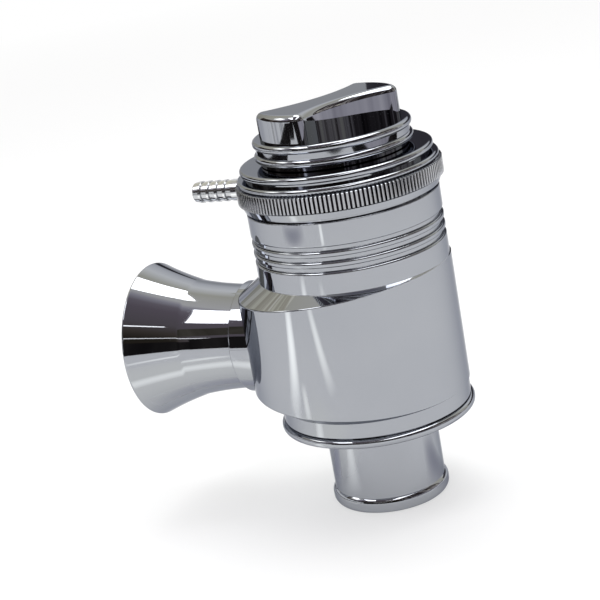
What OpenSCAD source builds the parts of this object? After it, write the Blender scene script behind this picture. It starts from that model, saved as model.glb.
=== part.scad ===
// Piston blow off valve with a side trumpet, a knurled cap and a hand adjuster.
// Frame: +Z runs up the valve's axis, the origin is the centre of the hose tail's end face,
// and the trumpet points along -X.

/* [Hose tail] */
// Outside diameter of the hose tail
tail_d = 34; // [31:0.5:38]
// Wall of the hose tail, round the inlet's bore
tail_wall = 3; // [2:0.1:5]
// Length of the hose tail below the base lip
tail_len = 26; // [18:0.5:45]
// Height of the hose bead above the tail
bead_rise = 0.9; // [0.4:0.1:1.5]
// Width of the hose bead
bead_w = 4.6; // [3:0.1:7]
// How far the tail's threaded shank is set in from its outside
tail_step = 0.6; // [0.3:0.1:1]

/* [Base] */
// How far the base lip stands out past the body
lip_rise = 1; // [0.5:0.1:3]
// Thickness of the base lip
lip_t = 2.7; // [2:0.1:6]
// Height of the spigot that screws into the body, up to the valve seat
base_spigot_h = 7.2; // [6:0.1:10]
// Wall of the body outside the base's spigot
base_wall = 4.6; // [4:0.1:6]
// Height of the wider throat under the valve seat
throat_h = 6; // [5:0.1:12]
// How much wider the throat is than the inlet's bore
throat_rise = 0.8; // [0.4:0.1:2]

/* [Body] */
// Diameter of the upper body
body_d = 57.2; // [55:0.1:66]
// Diameter of the piston bore
bore_d = 40; // [36:0.5:41]
// How far the lower body's axis lies towards the trumpet
lower_offset = 3.8; // [2.5:0.1:5]
// How far the lower body stands out past the upper body opposite the trumpet
lower_rise = 0.15; // [0.1:0.05:1]
// Slope of the lower body's shoulders
shoulder_angle = 35; // [25:1:45]
// Height of the plain register above the base lip
register_h = 5; // [4:0.1:8]
// Height of the lower body between its shoulders' inner edges
lower_h = 39.5; // [39:0.5:50]
// Height of the upper body
upper_h = 21; // [19:0.5:30]
// Number of grooves round the upper body
groove_n = 3; // [1:1:3]
// Width of a groove round the upper body
groove_w = 1.3; // [0.8:0.1:1.8]
// Depth of a groove round the upper body
groove_depth = 0.9; // [0.4:0.1:1.4]
// Distance from one groove to the next
groove_pitch = 3.05; // [2.6:0.05:4]
// Height of the lowest groove's middle above the shoulder
groove_z = 7.1; // [4:0.1:9]
// Rounding of the groove lips
groove_lip = 0.6; // [0.2:0.05:0.7]

/* [Trumpet] */
// Height of the trumpet's axis above the lower shoulder's inner edge
port_h = 17.9; // [17.5:0.1:20]
// How far the face that the collar seats on lies outside the upper body
port_step = 1.9; // [1:0.1:2.4]
// Length of the collar
collar_l = 7.4; // [6.5:0.1:11]
// How far the collar stands out past the neck
collar_rise = 1.1; // [0.5:0.1:1.4]
// Outside radius of the neck at the collar
neck_r = 16.1; // [15:0.1:16.2]
// Bore radius of the trumpet
trumpet_bore_r = 13.5; // [11:0.1:13.8]
// Length of the neck, from the collar to the crease
neck_l = 16.9; // [12:0.1:25]
// Outside radius at the crease
crease_r = 18; // [17.5:0.1:19.5]
// Length of the bell, from the crease to the rim
bell_l = 16.3; // [10:0.1:30]
// Outside radius of the rim
rim_r = 24.3; // [22:0.1:27]
// Width of the rim's edge
rim_edge = 0.8; // [0.5:0.1:2]
// Radius of curvature along the neck's side
neck_curve = 108; // [90:1:150]
// Radius of curvature along the bell's side
bell_curve = 118; // [90:1:200]
// Length of the flare inside the trumpet
flare_l = 21.1; // [17:0.1:26]
// Length of the trumpet's spigot inside the body
trumpet_spigot_l = 8; // [6:0.1:8.5]
// How far the spigot is set in from the collar
trumpet_step = 1.7; // [1.5:0.1:2.2]

/* [Cap] */
// Depth of the cap's spigot in the body
cap_spigot_h = 7; // [6:0.1:9]
// Wall of the body outside the cap's thread
cap_wall = 3.6; // [3:0.1:5]
// Height of the shadow gap between body and cap
cap_gap = 0.9; // [0.5:0.1:1.5]
// Depth of that gap
cap_gap_depth = 1.1; // [0.5:0.1:2]
// Height of the bevel under the knurl
bevel_h = 2.1; // [1.2:0.1:4]
// How far the bevel's lower edge stands out past the body
bevel_rise = 0.3; // [0:0.1:1]
// Height of the knurled band
knurl_h = 5.3; // [4.5:0.1:9]
// How far the knurl's crests stand out past the body
knurl_rise = 1.9; // [1.2:0.1:3]
// Number of flutes in the knurl
knurl_n = 150; // [60:2:160]
// Depth of a flute
knurl_depth = 0.6; // [0.3:0.05:0.8]
// Height of the disc above the knurl
disc_h = 1.8; // [1.2:0.1:4]
// How far that disc stands out past the body
disc_rise = 1.2; // [0.6:0.1:2]
// Height of the groove above the disc
cap_groove_h = 1; // [0.6:0.1:2]
// Depth of that groove below the top flange
cap_groove_depth = 1.3; // [0.5:0.1:3]
// Height of the top flange
flange_h = 2.1; // [1.6:0.1:4]
// How far the top flange is set in from the body
flange_set = 0.1; // [0:0.1:1]
// Rounding of the cap's turned edges
cap_round = 0.85; // [0.3:0.05:0.95]
// Thickness of the cap's top
cap_plate = 6.3; // [5:0.1:7]
// Width of the ledge that stops the piston
stop_lip = 2; // [1.5:0.1:3]

/* [Vacuum nipple] */
// Height of the nipple's axis above the bevel's lower edge
nipple_h = 3.2; // [2.8:0.1:4]
// How far the nipple stands out of the knurl
nipple_len = 17.5; // [12:0.1:25]
// Length of the plain part between the washer and the barbs
nipple_plain = 3.6; // [1.2:0.1:6]
// Outside radius of the barbs
barb_r = 3.35; // [3:0.05:4]
// Height of a barb's step
barb_step = 0.4; // [0.2:0.05:0.6]
// Number of barbs
barb_n = 5; // [3:1:6]
// Bore radius of the nipple
nipple_bore_r = 1.4; // [1:0.1:1.6]
// Radius of the nipple's threaded shank
shank_r = 2.5; // [2.2:0.1:2.7]
// Thickness of the nipple's sealing washer
nipple_washer_t = 0.6; // [0.4:0.1:1]
// Depth of the nipple's spot face below the flutes
spot_depth = 0.1; // [0.05:0.05:0.5]

/* [Knob] */
// Diameter of the knob over its beads
knob_d = 46.8; // [40:0.1:52]
// Gap between cap and knob
knob_gap = 0.3; // [0.3:0.05:0.6]
// Height of the neck under the knob
neck_h = 1; // [0.8:0.1:3]
// How far that neck is set in
neck_set = 1.6; // [0.3:0.1:3]
// Height of a bead round the knob
knob_bead_h = 2.5; // [2:0.1:4]
// Rounding of the beads
knob_round = 1.15; // [0.4:0.05:1.2]
// Height of the groove between the beads
knob_groove_h = 1.5; // [1:0.1:3]
// Depth of that groove
knob_groove_depth = 0.8; // [0.4:0.1:2]
// Height of the finger grip above the knob
grip_h = 8.3; // [6:0.1:14]
// How far the grip's ends are set in from the knob's edge
grip_set = 2.2; // [1:0.1:4]
// Width of the grip at its ends
grip_end_w = 17; // [14:0.1:20]
// Width of the grip at its waist
grip_waist_w = 11.8; // [8:0.1:13]
// Rounding along the top of the grip
grip_round = 1.4; // [0.6:0.1:2]
// Angle of the grip from the X axis
grip_angle = 61; // [0:1:180]

/* [Adjuster] */
// Diameter of the adjuster stem
stem_d = 8; // [6:0.1:9]
// Depth of the stem in the knob
stem_in_knob = 6.4; // [4:0.1:7]
// Full travel of the spring seat
seat_travel = 4.5; // [2:0.1:6]
// Thickness of the circlip under the cap
circlip_t = 0.8; // [0.6:0.1:1]
// How far the circlip stands out of the stem
circlip_rise = 2; // [1.5:0.1:2]
// Depth of the circlip's groove in the stem
circlip_depth = 0.6; // [0.3:0.1:1]
// Diameter of the thrust washer under the knob
thrust_d = 20; // [14:0.5:30]
// Thickness of the thrust washer
thrust_t = 0.6; // [0.5:0.1:1]
// Radius of the grub screw in the knob
grub_r = 1.6; // [1.2:0.1:2]
// Length of the grub screw
grub_len = 8; // [5:0.5:12]
// Diameter of the spring seat
seat_d = 30; // [28:0.5:32]
// Thickness of the spring seat
seat_t = 4; // [3:0.1:5]
// Height of the boss that centres the spring
seat_boss_h = 1.5; // [1:0.1:2.5]
// Diameter of a guide pin
pin_d = 3; // [2:0.1:3.4]
// Distance of a guide pin from the axis
pin_at = 8.2; // [8.1:0.1:8.6]
// Depth of a guide pin in the cap
pin_depth = 4; // [3:0.1:4.5]

/* [Piston] */
// Full lift of the piston
piston_lift = 10; // [6:0.5:14]
// Thickness of the piston's crown
crown_t = 5; // [4:0.1:8]
// Thickness of the piston's skirt
skirt_t = 3.95; // [3.2:0.05:4.2]
// Section of the piston's ring seals
ring_w = 1.8; // [1.4:0.1:2.2]
// Distance of the upper ring from the piston's top edge
ring_inset = 2; // [1.5:0.1:3]
// Land between the piston's rings
ring_land = 2; // [1.5:0.1:3]
// Thickness of the seat seal
seal_t = 2.5; // [2:0.1:3]
// How far the seat seal stands below the piston
seal_proud = 0.5; // [0.3:0.1:1]
// Rim of the piston outside the seat seal
seal_rim = 1.4; // [1:0.1:2]
// Thickness of the seal's retainer
retainer_t = 1.5; // [1:0.1:2.5]
// Gap between the retainer and the inlet's bore
retainer_gap = 1.5; // [1:0.1:3]
// Radius of the retainer screw
screw_r = 2.5; // [2:0.1:3]
// Height of the retainer screw's head
screw_head_h = 1.8; // [1.2:0.1:3]

/* [Return spring] */
// Mean diameter of the spring
coil_d = 25; // [24.6:0.1:26]
// Diameter of the spring's wire
wire_d = 2.2; // [1.6:0.1:2.4]
// Number of turns
coil_n = 8; // [6:1:10]

/* [Fits] */
// Radial clearance of a part that slides or turns
slide_fit = 0.05; // [0.02:0.01:0.08]
// Radial clearance of a part that is screwed or pressed home
seat_fit = 0.02; // [0.01:0.01:0.05]
// Small gap between faces that only just meet
touch_gap = 0.1; // [0.05:0.01:0.2]
// Gap that keeps moving faces apart
clear_gap = 0.35; // [0.3:0.05:0.6]
// Section of the static sealing rings
o_ring_w = 1.8; // [1.4:0.1:2]

/* [Hidden] */
$fn = 96;

// Radii that the diameters give
body_r = body_d / 2;
bore_r = bore_d / 2;
tail_r = tail_d / 2;
tail_bore_r = tail_r - tail_wall;
tail_shank_r = tail_r - tail_step;
throat_r = tail_bore_r + throat_rise;
lip_r = body_r + lip_rise;
base_spigot_r = body_r - base_wall;
lower_r = body_r + lower_rise + lower_offset;
reach_r = lower_r + lower_offset;
collar_r = neck_r + collar_rise;
trumpet_spigot_r = collar_r - trumpet_step;
cap_spigot_r = body_r - cap_wall;
chamber_r = bore_r - stop_lip;
knurl_r = body_r + knurl_rise;
flange_r = body_r - flange_set;
knob_r = knob_d / 2;
stem_r = stem_d / 2;
seat_r = seat_d / 2;
piston_r = bore_r - slide_fit;
skirt_r = piston_r - skirt_t;
boss_r = coil_d / 2 - wire_d / 2 - clear_gap;

// Heights, from the hose tail's end upwards
z_lip = tail_len;
z_body = z_lip + lip_t;
z_seat = z_body + base_spigot_h;
z_throat = z_seat - throat_h;
z_lower = z_body + register_h;
z_port = z_lower + port_h;
z_upper = z_lower + lower_h;
z_body_top = z_upper + upper_h;
z_cap_spigot = z_body_top - cap_spigot_h;
z_bevel = z_body_top + cap_gap;
z_knurl = z_bevel + bevel_h;
z_disc = z_knurl + knurl_h;
z_cap_groove = z_disc + disc_h;
z_flange = z_cap_groove + cap_groove_h;
z_cap_top = z_flange + flange_h;
z_ceiling = z_cap_top - cap_plate;
z_nipple = z_bevel + nipple_h;
z_knob = z_cap_top + knob_gap;
z_bead_low = z_knob + neck_h;
z_bead_high = z_bead_low + knob_bead_h + knob_groove_h;
z_grip = z_bead_high + knob_bead_h;
z_grip_top = z_grip + grip_h;
z_stem_top = z_knob + stem_in_knob;
z_circlip = z_ceiling - touch_gap - circlip_t;
z_spring_seat = z_circlip - clear_gap - seat_travel / 2 - seat_t;
z_stem_end = z_spring_seat - seat_travel / 2 - 2 * seat_boss_h;
z_seal = z_seat + touch_gap;
z_piston = z_seal + seal_proud;
z_crown = z_piston + crown_t;
piston_top = z_cap_spigot - clear_gap - piston_lift;
z_grub = z_bead_low + knob_bead_h + knob_groove_h / 2;

// Distances from the valve's axis along the trumpet and the nipple
port_seat = body_r + port_step;
collar_end = port_seat + collar_l;
crease_at = collar_end + neck_l;
rim_at = crease_at + bell_l;
flare_at = rim_at - flare_l;
nipple_seat = knurl_r - knurl_depth - spot_depth;
nipple_tip = knurl_r + nipple_len;

// How far a cutter or a joined shape runs past the face it meets
over = 1;

// A ring of rectangular section
module ring(inner_r, outer_r, low, high) {
  translate([0, 0, low]) difference() {
    cylinder(r = outer_r, h = high - low);
    translate([0, 0, -over]) cylinder(r = inner_r, h = high - low + 2 * over);
  }
}

// A ring of round section that lies in a groove of the given floor radius
module o_ring(floor_r, width, middle) {
  translate([0, 0, middle]) rotate_extrude() translate([floor_r + width / 2, 0]) circle(d = width);
}

// Half section of a disc with both outer edges rounded
module rounded_half(r, low, high, edge) {
  translate([0, low]) square([r - edge, high - low]);
  translate([0, low + edge]) square([r, high - low - 2 * edge]);
  for (y = [low + edge, high - edge]) translate([r - edge, y]) circle(r = edge);
}

// Turns a shape made along +Z to lie along the trumpet's direction at one height
module towards_trumpet(height) {
  translate([0, 0, height]) rotate([0, -90, 0]) children();
}

// Turns a shape made along +Z to lie along the grub screw's direction, square to the grip
module towards_grub() {
  translate([0, 0, z_grub]) rotate([0, 0, grip_angle + 90]) rotate([0, 90, 0]) children();
}

// Half section of the body's coaxial cones, which trim the offset lower body
module shoulder_half() {
  spread = reach_r + over - body_r;
  rise = spread * tan(shoulder_angle);
  dip = over * tan(shoulder_angle);
  polygon([[0, z_lower - dip], [body_r - over, z_lower - dip], [body_r + spread, z_lower + rise],
    [body_r + spread, z_upper - rise], [body_r - over, z_upper + dip], [0, z_upper + dip]]);
}

// Half section of one groove with rounded lips
module groove_half() {
  depth = groove_depth;
  half = groove_w / 2;
  translate([body_r - depth, -half]) square([depth + over, groove_w]);
  difference() {
    translate([body_r - groove_lip, -half - groove_lip]) square([groove_lip + over, groove_w + 2 * groove_lip]);
    for (side = [-1, 1]) translate([body_r - groove_lip, side * (half + groove_lip)]) circle(r = groove_lip);
  }
}

module valve_body() {
  color("silver") difference() {
    union() {
      translate([0, 0, z_body]) cylinder(r = body_r, h = z_body_top - z_body);
      intersection() {
        translate([-lower_offset, 0, z_lower - over]) cylinder(r = lower_r, h = lower_h + 2 * over);
        rotate_extrude() shoulder_half();
      }
    }
    translate([0, 0, z_body - over]) cylinder(r = bore_r, h = z_body_top - z_body + 2 * over);
    translate([0, 0, z_body - over]) cylinder(r = base_spigot_r + seat_fit, h = base_spigot_h + over);
    translate([0, 0, z_cap_spigot - touch_gap])
      cylinder(r = cap_spigot_r + seat_fit, h = cap_spigot_h + touch_gap + over);
    for (i = [0 : groove_n - 1])
      rotate_extrude() translate([0, z_upper + groove_z + i * groove_pitch]) groove_half();
    towards_trumpet(z_port) {
      cylinder(r = trumpet_spigot_r + seat_fit, h = reach_r);
      translate([0, 0, port_seat]) cylinder(r = collar_r + seat_fit, h = reach_r);
    }
  }
}

// Half section of the base with its lip and spigot
module base_half() {
  rounded_half(lip_r, z_lip, z_body, lip_t * 0.45);
  translate([0, z_body - lip_t / 2]) square([base_spigot_r, base_spigot_h + lip_t / 2]);
}

module inlet_base() {
  ring_z = z_body + base_spigot_h / 2;
  color("silver") difference() {
    rotate_extrude() base_half();
    translate([0, 0, z_lip - over]) cylinder(r = tail_shank_r + seat_fit, h = z_throat - z_lip + over);
    translate([0, 0, z_throat - over]) cylinder(r = throat_r, h = throat_h + 2 * over);
    ring(base_spigot_r - o_ring_w, base_spigot_r + over, ring_z - o_ring_w / 2, ring_z + o_ring_w / 2);
  }
}

// Half section of the hose tail with its bead and the shank that screws into the base
module tail_half() {
  rounded_half(tail_r + bead_rise, 0, bead_w, bead_rise * 0.9);
  square([tail_r, z_lip]);
  square([tail_shank_r, z_throat]);
}

module hose_tail() {
  color("silver") difference() {
    rotate_extrude() tail_half();
    translate([0, 0, -over]) cylinder(r = tail_bore_r, h = z_throat + 2 * over);
  }
}

module base_o_ring() {
  color("dimgray") o_ring(base_spigot_r - o_ring_w, o_ring_w, z_body + base_spigot_h / 2);
}

// Half section of the outside of the neck or bell: the area inside one long arc
// that starts at radius r0 and height s0, ends at r1 and s1 and bulges towards the axis
module curved_half(r0, s0, r1, s1, curve) {
  chord = sqrt((r1 - r0) ^ 2 + (s1 - s0) ^ 2);
  back = sqrt(curve ^ 2 - chord ^ 2 / 4);
  centre_r = (r0 + r1) / 2 + back * (s1 - s0) / chord;
  centre_s = (s0 + s1) / 2 - back * (r1 - r0) / chord;
  difference() {
    polygon([[0, s0], [r0, s0], [r1, s1], [0, s1]]);
    translate([centre_r, centre_s]) circle(r = curve, $fn = 360);
  }
}

// Half section of the trumpet's bore, flared by one arc towards the rim
module flare_half() {
  rise = rim_r - rim_edge - trumpet_bore_r;
  run = rim_at - flare_at;
  curve = (run ^ 2 + rise ^ 2) / (2 * rise);
  square([trumpet_bore_r, rim_at + over]);
  difference() {
    translate([0, flare_at]) square([trumpet_bore_r + rise, run + over]);
    translate([trumpet_bore_r + curve, flare_at]) circle(r = curve, $fn = 360);
  }
}

module trumpet() {
  ring_at = port_seat - trumpet_spigot_l / 2;
  color("silver") towards_trumpet(z_port) difference() {
    rotate_extrude() difference() {
      union() {
        translate([0, port_seat - trumpet_spigot_l]) square([trumpet_spigot_r, trumpet_spigot_l]);
        rounded_half(collar_r, port_seat, collar_end, collar_rise * 0.4);
        curved_half(neck_r, collar_end - over, crease_r, crease_at, neck_curve);
        curved_half(crease_r, crease_at, rim_r, rim_at, bell_curve);
      }
      flare_half();
    }
    ring(trumpet_spigot_r - o_ring_w * 0.7, trumpet_spigot_r + over,
      ring_at - o_ring_w / 2, ring_at + o_ring_w / 2);
  }
}

module trumpet_o_ring() {
  width = o_ring_w * 0.7;
  color("dimgray") towards_trumpet(z_port)
    o_ring(trumpet_spigot_r - width, width, port_seat - trumpet_spigot_l / 2);
}

// Outline of the knurl: crests joined by V-shaped flutes
module knurl_outline() {
  step = 360 / knurl_n;
  land = 0.2;
  polygon([for (i = [0 : knurl_n - 1]) for (part = [-land, land, 0.5])
    let (r = part == 0.5 ? knurl_r - knurl_depth : knurl_r, a = (i + part) * step) [r * cos(a), r * sin(a)]]);
}

// Half section of the cap's turned outside, without the knurl
module cap_half() {
  core_r = knurl_r - 2 * knurl_depth;
  bevel_r = knurl_r - knurl_depth - seat_fit;
  translate([0, z_cap_spigot]) square([cap_spigot_r, cap_spigot_h]);
  translate([0, z_body_top]) square([body_r - cap_gap_depth, cap_gap + over]);
  polygon([[0, z_bevel], [body_r + bevel_rise, z_bevel], [bevel_r, z_knurl], [0, z_knurl]]);
  translate([0, z_knurl]) square([core_r, knurl_h]);
  rounded_half(body_r + disc_rise, z_disc, z_cap_groove, min(cap_round, disc_h * 0.48));
  translate([0, z_cap_groove - over]) square([flange_r - cap_groove_depth, cap_groove_h + 2 * over]);
  rounded_half(flange_r, z_flange, z_cap_top, min(cap_round, flange_h * 0.48));
}

module cap() {
  ring_z = z_cap_spigot + cap_spigot_h / 2;
  color("silver") difference() {
    union() {
      rotate_extrude() cap_half();
      translate([0, 0, z_knurl]) linear_extrude(height = knurl_h) knurl_outline();
    }
    translate([0, 0, z_cap_spigot - over]) cylinder(r = chamber_r, h = z_ceiling - z_cap_spigot + over);
    translate([0, 0, z_ceiling - over]) cylinder(r = stem_r + slide_fit, h = cap_plate + 2 * over);
    ring(cap_spigot_r - o_ring_w, cap_spigot_r + over, ring_z - o_ring_w / 2, ring_z + o_ring_w / 2);
    for (side = [-1, 1]) translate([0, side * pin_at, z_ceiling - over])
      cylinder(r = pin_d / 2 + seat_fit, h = pin_depth + touch_gap + over);
    towards_trumpet(z_nipple) {
      cylinder(r = shank_r + seat_fit, h = knurl_r + over);
      translate([0, 0, nipple_seat]) cylinder(r = barb_r + touch_gap, h = nipple_len);
    }
  }
}

module cap_o_ring() {
  color("dimgray") o_ring(cap_spigot_r - o_ring_w, o_ring_w, z_cap_spigot + cap_spigot_h / 2);
}

// Half section of the nipple: shank, plain shoulder and a row of barbs that taper to the tip
module nipple_half() {
  start = nipple_seat + nipple_washer_t;
  barb_l = (nipple_tip - start - nipple_plain) / barb_n;
  translate([0, chamber_r + touch_gap]) square([shank_r, start - chamber_r]);
  translate([0, start]) square([barb_r - barb_step, nipple_tip - start]);
  translate([0, start]) square([barb_r, nipple_plain]);
  for (i = [0 : barb_n - 1]) {
    low = start + nipple_plain + i * barb_l;
    polygon([[0, low], [barb_r, low], [barb_r, low + barb_l * 0.25],
      [barb_r - barb_step, low + barb_l], [0, low + barb_l]]);
  }
}

module vacuum_nipple() {
  color("silver") towards_trumpet(z_nipple) difference() {
    rotate_extrude() nipple_half();
    cylinder(r = nipple_bore_r, h = nipple_tip + over);
  }
}

module nipple_washer() {
  color("dimgray") towards_trumpet(z_nipple)
    ring(shank_r + seat_fit, barb_r, nipple_seat, nipple_seat + nipple_washer_t);
}

// One pin that keeps the spring seat from turning
module guide_pin(side) {
  low = z_stem_end;
  color("gray") translate([0, side * pin_at, low]) cylinder(r = pin_d / 2, h = z_ceiling + pin_depth - low);
}

module guide_pin_left() {
  guide_pin(-1);
}

module guide_pin_right() {
  guide_pin(1);
}

// Height of the middle of one ring groove, counted down from the piston's top
function ring_middle(i) = piston_top - ring_inset - ring_w / 2 - i * (ring_w + ring_land);

module piston() {
  color("lightsteelblue") difference() {
    translate([0, 0, z_piston]) cylinder(r = piston_r, h = piston_top - z_piston);
    translate([0, 0, z_crown]) cylinder(r = skirt_r, h = piston_top - z_crown + over);
    translate([0, 0, z_piston - over]) cylinder(r = piston_r - seal_rim, h = seal_t - seal_proud + over);
    translate([0, 0, z_piston - over]) cylinder(r = screw_r + seat_fit, h = crown_t + 2 * over);
    for (i = [0, 1]) ring(piston_r - ring_w, piston_r + over,
      ring_middle(i) - ring_w / 2, ring_middle(i) + ring_w / 2);
  }
}

module upper_piston_ring() {
  color("dimgray") o_ring(piston_r - ring_w, ring_w, ring_middle(0));
}

module lower_piston_ring() {
  color("dimgray") o_ring(piston_r - ring_w, ring_w, ring_middle(1));
}

module seat_seal() {
  color("dimgray") ring(screw_r + seat_fit, piston_r - seal_rim - seat_fit, z_seal, z_seal + seal_t);
}

module seal_retainer() {
  color("gray") ring(screw_r + seat_fit, tail_bore_r - retainer_gap, z_seal - retainer_t, z_seal);
}

module retainer_screw() {
  head_r = screw_r * 1.8;
  low = z_seal - retainer_t - screw_head_h;
  color("gray") difference() {
    union() {
      translate([0, 0, low]) rotate_extrude() rounded_half(head_r, 0, screw_head_h, screw_head_h * 0.4);
      translate([0, 0, low + screw_head_h / 2]) cylinder(r = screw_r, h = z_crown - low - screw_head_h / 2);
    }
    translate([0, 0, low - over]) cylinder(r = screw_r * 0.7, h = screw_head_h * 0.7 + over, $fn = 6);
  }
}

// Half section of the knob's turned beads
module knob_half() {
  edge = min(knob_round, knob_bead_h * 0.48);
  translate([0, z_knob]) square([knob_r - neck_set, neck_h + over]);
  rounded_half(knob_r, z_bead_low, z_bead_low + knob_bead_h, edge);
  translate([0, z_bead_low + over]) square([knob_r - knob_groove_depth, knob_bead_h + knob_groove_h]);
  rounded_half(knob_r, z_bead_high, z_grip, edge);
}

// Half section of the grip's blank, with its top edge rounded
module grip_half() {
  r = knob_r - grip_set;
  translate([0, z_grip - over]) square([r, grip_h + over - grip_round]);
  translate([0, z_grip - over]) square([r - grip_round, grip_h + over]);
  translate([r - grip_round, z_grip_top - grip_round]) circle(r = grip_round);
}

// Half section of the cutter for one side of the grip, flared to round the top edge
module scoop_half(r) {
  translate([0, z_grip]) square([r, grip_h + over]);
  difference() {
    translate([0, z_grip_top - grip_round]) square([r + grip_round, grip_round + over]);
    translate([r + grip_round, z_grip_top - grip_round]) circle(r = grip_round);
  }
}

// Finger grip: a bar cut from a round blank by two wide scoops
module grip() {
  r = knob_r - grip_set;
  end_x = sqrt(r ^ 2 - (grip_end_w / 2) ^ 2);
  depth = (grip_end_w - grip_waist_w) / 2;
  scoop_r = (end_x ^ 2 + depth ^ 2) / (2 * depth);
  difference() {
    rotate_extrude() grip_half();
    for (side = [-1, 1]) rotate([0, 0, grip_angle])
      translate([0, side * (grip_waist_w / 2 + scoop_r), 0]) rotate_extrude($fn = 360) scoop_half(scoop_r);
  }
}

module adjuster_knob() {
  color("silver") difference() {
    union() {
      rotate_extrude() knob_half();
      grip();
    }
    translate([0, 0, z_knob - over]) cylinder(r = stem_r + seat_fit, h = stem_in_knob + over + touch_gap);
    translate([0, 0, z_knob - over])
      cylinder(r = thrust_d / 2 + clear_gap, h = thrust_t - knob_gap + touch_gap + over);
    towards_grub() cylinder(r = grub_r + seat_fit, h = knob_r + over);
  }
}

module knob_grub_screw() {
  start = stem_r + touch_gap;
  color("dimgray") towards_grub() translate([0, 0, start]) difference() {
    cylinder(r = grub_r, h = grub_len);
    translate([0, 0, grub_len / 2]) cylinder(r = grub_r * 0.5, h = grub_len, $fn = 6);
  }
}

module adjuster_stem() {
  ring_z = z_ceiling + cap_plate / 2;
  color("gray") difference() {
    translate([0, 0, z_stem_end]) cylinder(r = stem_r, h = z_stem_top - z_stem_end);
    ring(stem_r - circlip_depth, stem_r + over, z_circlip - seat_fit, z_circlip + circlip_t + seat_fit);
    ring(stem_r - o_ring_w / 2, stem_r + over, ring_z - o_ring_w / 4, ring_z + o_ring_w / 4);
  }
}

module stem_o_ring() {
  color("dimgray") o_ring(stem_r - o_ring_w / 2, o_ring_w / 2, z_ceiling + cap_plate / 2);
}

module thrust_washer() {
  color("ivory") ring(stem_r + slide_fit, thrust_d / 2, z_cap_top, z_cap_top + thrust_t);
}

// Snap ring with a gap at one side
module stem_circlip() {
  gap_w = stem_r;
  color("gray") difference() {
    ring(stem_r - circlip_depth + seat_fit, stem_r + circlip_rise, z_circlip, z_circlip + circlip_t);
    translate([0, -gap_w / 2, z_circlip - over]) cube([stem_r + 2 * circlip_rise, gap_w, circlip_t + 2 * over]);
  }
}

module spring_seat() {
  color("gray") difference() {
    union() {
      translate([0, 0, z_spring_seat]) cylinder(r = seat_r, h = seat_t);
      translate([0, 0, z_spring_seat - seat_boss_h]) cylinder(r = boss_r, h = seat_boss_h + over);
    }
    translate([0, 0, z_spring_seat - seat_boss_h - over])
      cylinder(r = stem_r + slide_fit, h = seat_t + seat_boss_h + 2 * over);
    for (side = [-1, 1]) translate([0, side * pin_at, z_spring_seat - seat_boss_h - over])
      cylinder(r = pin_d / 2 + slide_fit, h = seat_t + seat_boss_h + 2 * over);
  }
}

// The spring's wire follows a helix whose first and last turns are closed up
coil_steps = 20;
wire_sides = 8;
coil_low = z_crown + touch_gap + wire_d / 2;
coil_high = z_spring_seat - touch_gap - wire_d / 2;
end_pitch = wire_d * 1.08;
open_pitch = (coil_high - coil_low - 2 * end_pitch) / (coil_n - 2);
function coil_z(turn) = turn < 1 ? coil_low + turn * end_pitch
  : turn > coil_n - 1 ? coil_high - (coil_n - turn) * end_pitch
  : coil_low + end_pitch + (turn - 1) * open_pitch;
function wire_point(turn, side) =
  let (a = turn * 360, w = side * 360 / wire_sides, r = coil_d / 2 + wire_d / 2 * cos(w))
  [r * cos(a), r * sin(a), coil_z(turn) + wire_d / 2 * sin(w)];

module return_spring() {
  last = coil_n * coil_steps;
  sides = wire_sides;
  points = [for (i = [0 : last]) for (k = [0 : sides - 1]) wire_point(i / coil_steps, k)];
  walls = [for (i = [0 : last - 1]) for (k = [0 : sides - 1])
    [i * sides + k, i * sides + (k + 1) % sides, (i + 1) * sides + (k + 1) % sides, (i + 1) * sides + k]];
  ends = [[for (k = [0 : sides - 1]) sides - 1 - k], [for (k = [0 : sides - 1]) last * sides + k]];
  color("darkgray") polyhedron(points = points, faces = concat(walls, ends));
}

valve_body();
inlet_base();
hose_tail();
base_o_ring();
trumpet();
trumpet_o_ring();
cap();
cap_o_ring();
vacuum_nipple();
nipple_washer();
guide_pin_left();
guide_pin_right();
piston();
upper_piston_ring();
lower_piston_ring();
seat_seal();
seal_retainer();
retainer_screw();
adjuster_knob();
knob_grub_screw();
adjuster_stem();
stem_o_ring();
thrust_washer();
stem_circlip();
spring_seat();
return_spring();
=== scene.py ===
"""Looks of a polished blow off valve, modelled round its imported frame.

The frame's origin is the centre of the hose tail's end, +Z runs up the valve's axis and the trumpet
points along -X. Sizes are in millimetres and become metres when a piece is drawn.
"""
import logging
import math
from collections.abc import Callable, Iterable, Sequence
from dataclasses import dataclass, field
from enum import Enum
from itertools import pairwise

import bpy
from mathutils import Matrix, Vector


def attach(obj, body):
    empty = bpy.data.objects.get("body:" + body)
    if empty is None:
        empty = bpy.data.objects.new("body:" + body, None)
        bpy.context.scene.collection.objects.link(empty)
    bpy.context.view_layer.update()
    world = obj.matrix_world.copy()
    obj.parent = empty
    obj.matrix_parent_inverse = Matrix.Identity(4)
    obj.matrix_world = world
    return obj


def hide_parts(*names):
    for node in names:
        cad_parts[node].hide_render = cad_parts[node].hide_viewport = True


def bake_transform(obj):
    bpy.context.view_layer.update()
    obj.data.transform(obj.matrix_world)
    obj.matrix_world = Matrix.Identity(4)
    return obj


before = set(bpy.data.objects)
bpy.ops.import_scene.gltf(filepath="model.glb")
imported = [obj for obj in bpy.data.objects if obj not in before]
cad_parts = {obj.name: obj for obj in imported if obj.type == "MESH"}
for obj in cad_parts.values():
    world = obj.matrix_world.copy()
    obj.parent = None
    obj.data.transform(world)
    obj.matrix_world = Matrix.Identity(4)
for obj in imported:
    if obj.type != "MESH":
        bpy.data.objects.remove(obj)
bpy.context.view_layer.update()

LOG = logging.getLogger("blow_off_valve")

MM = 0.001
# Steps round a large turned piece and round a small one
SPIN_STEPS = 256
SMALL_STEPS = 96
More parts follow.
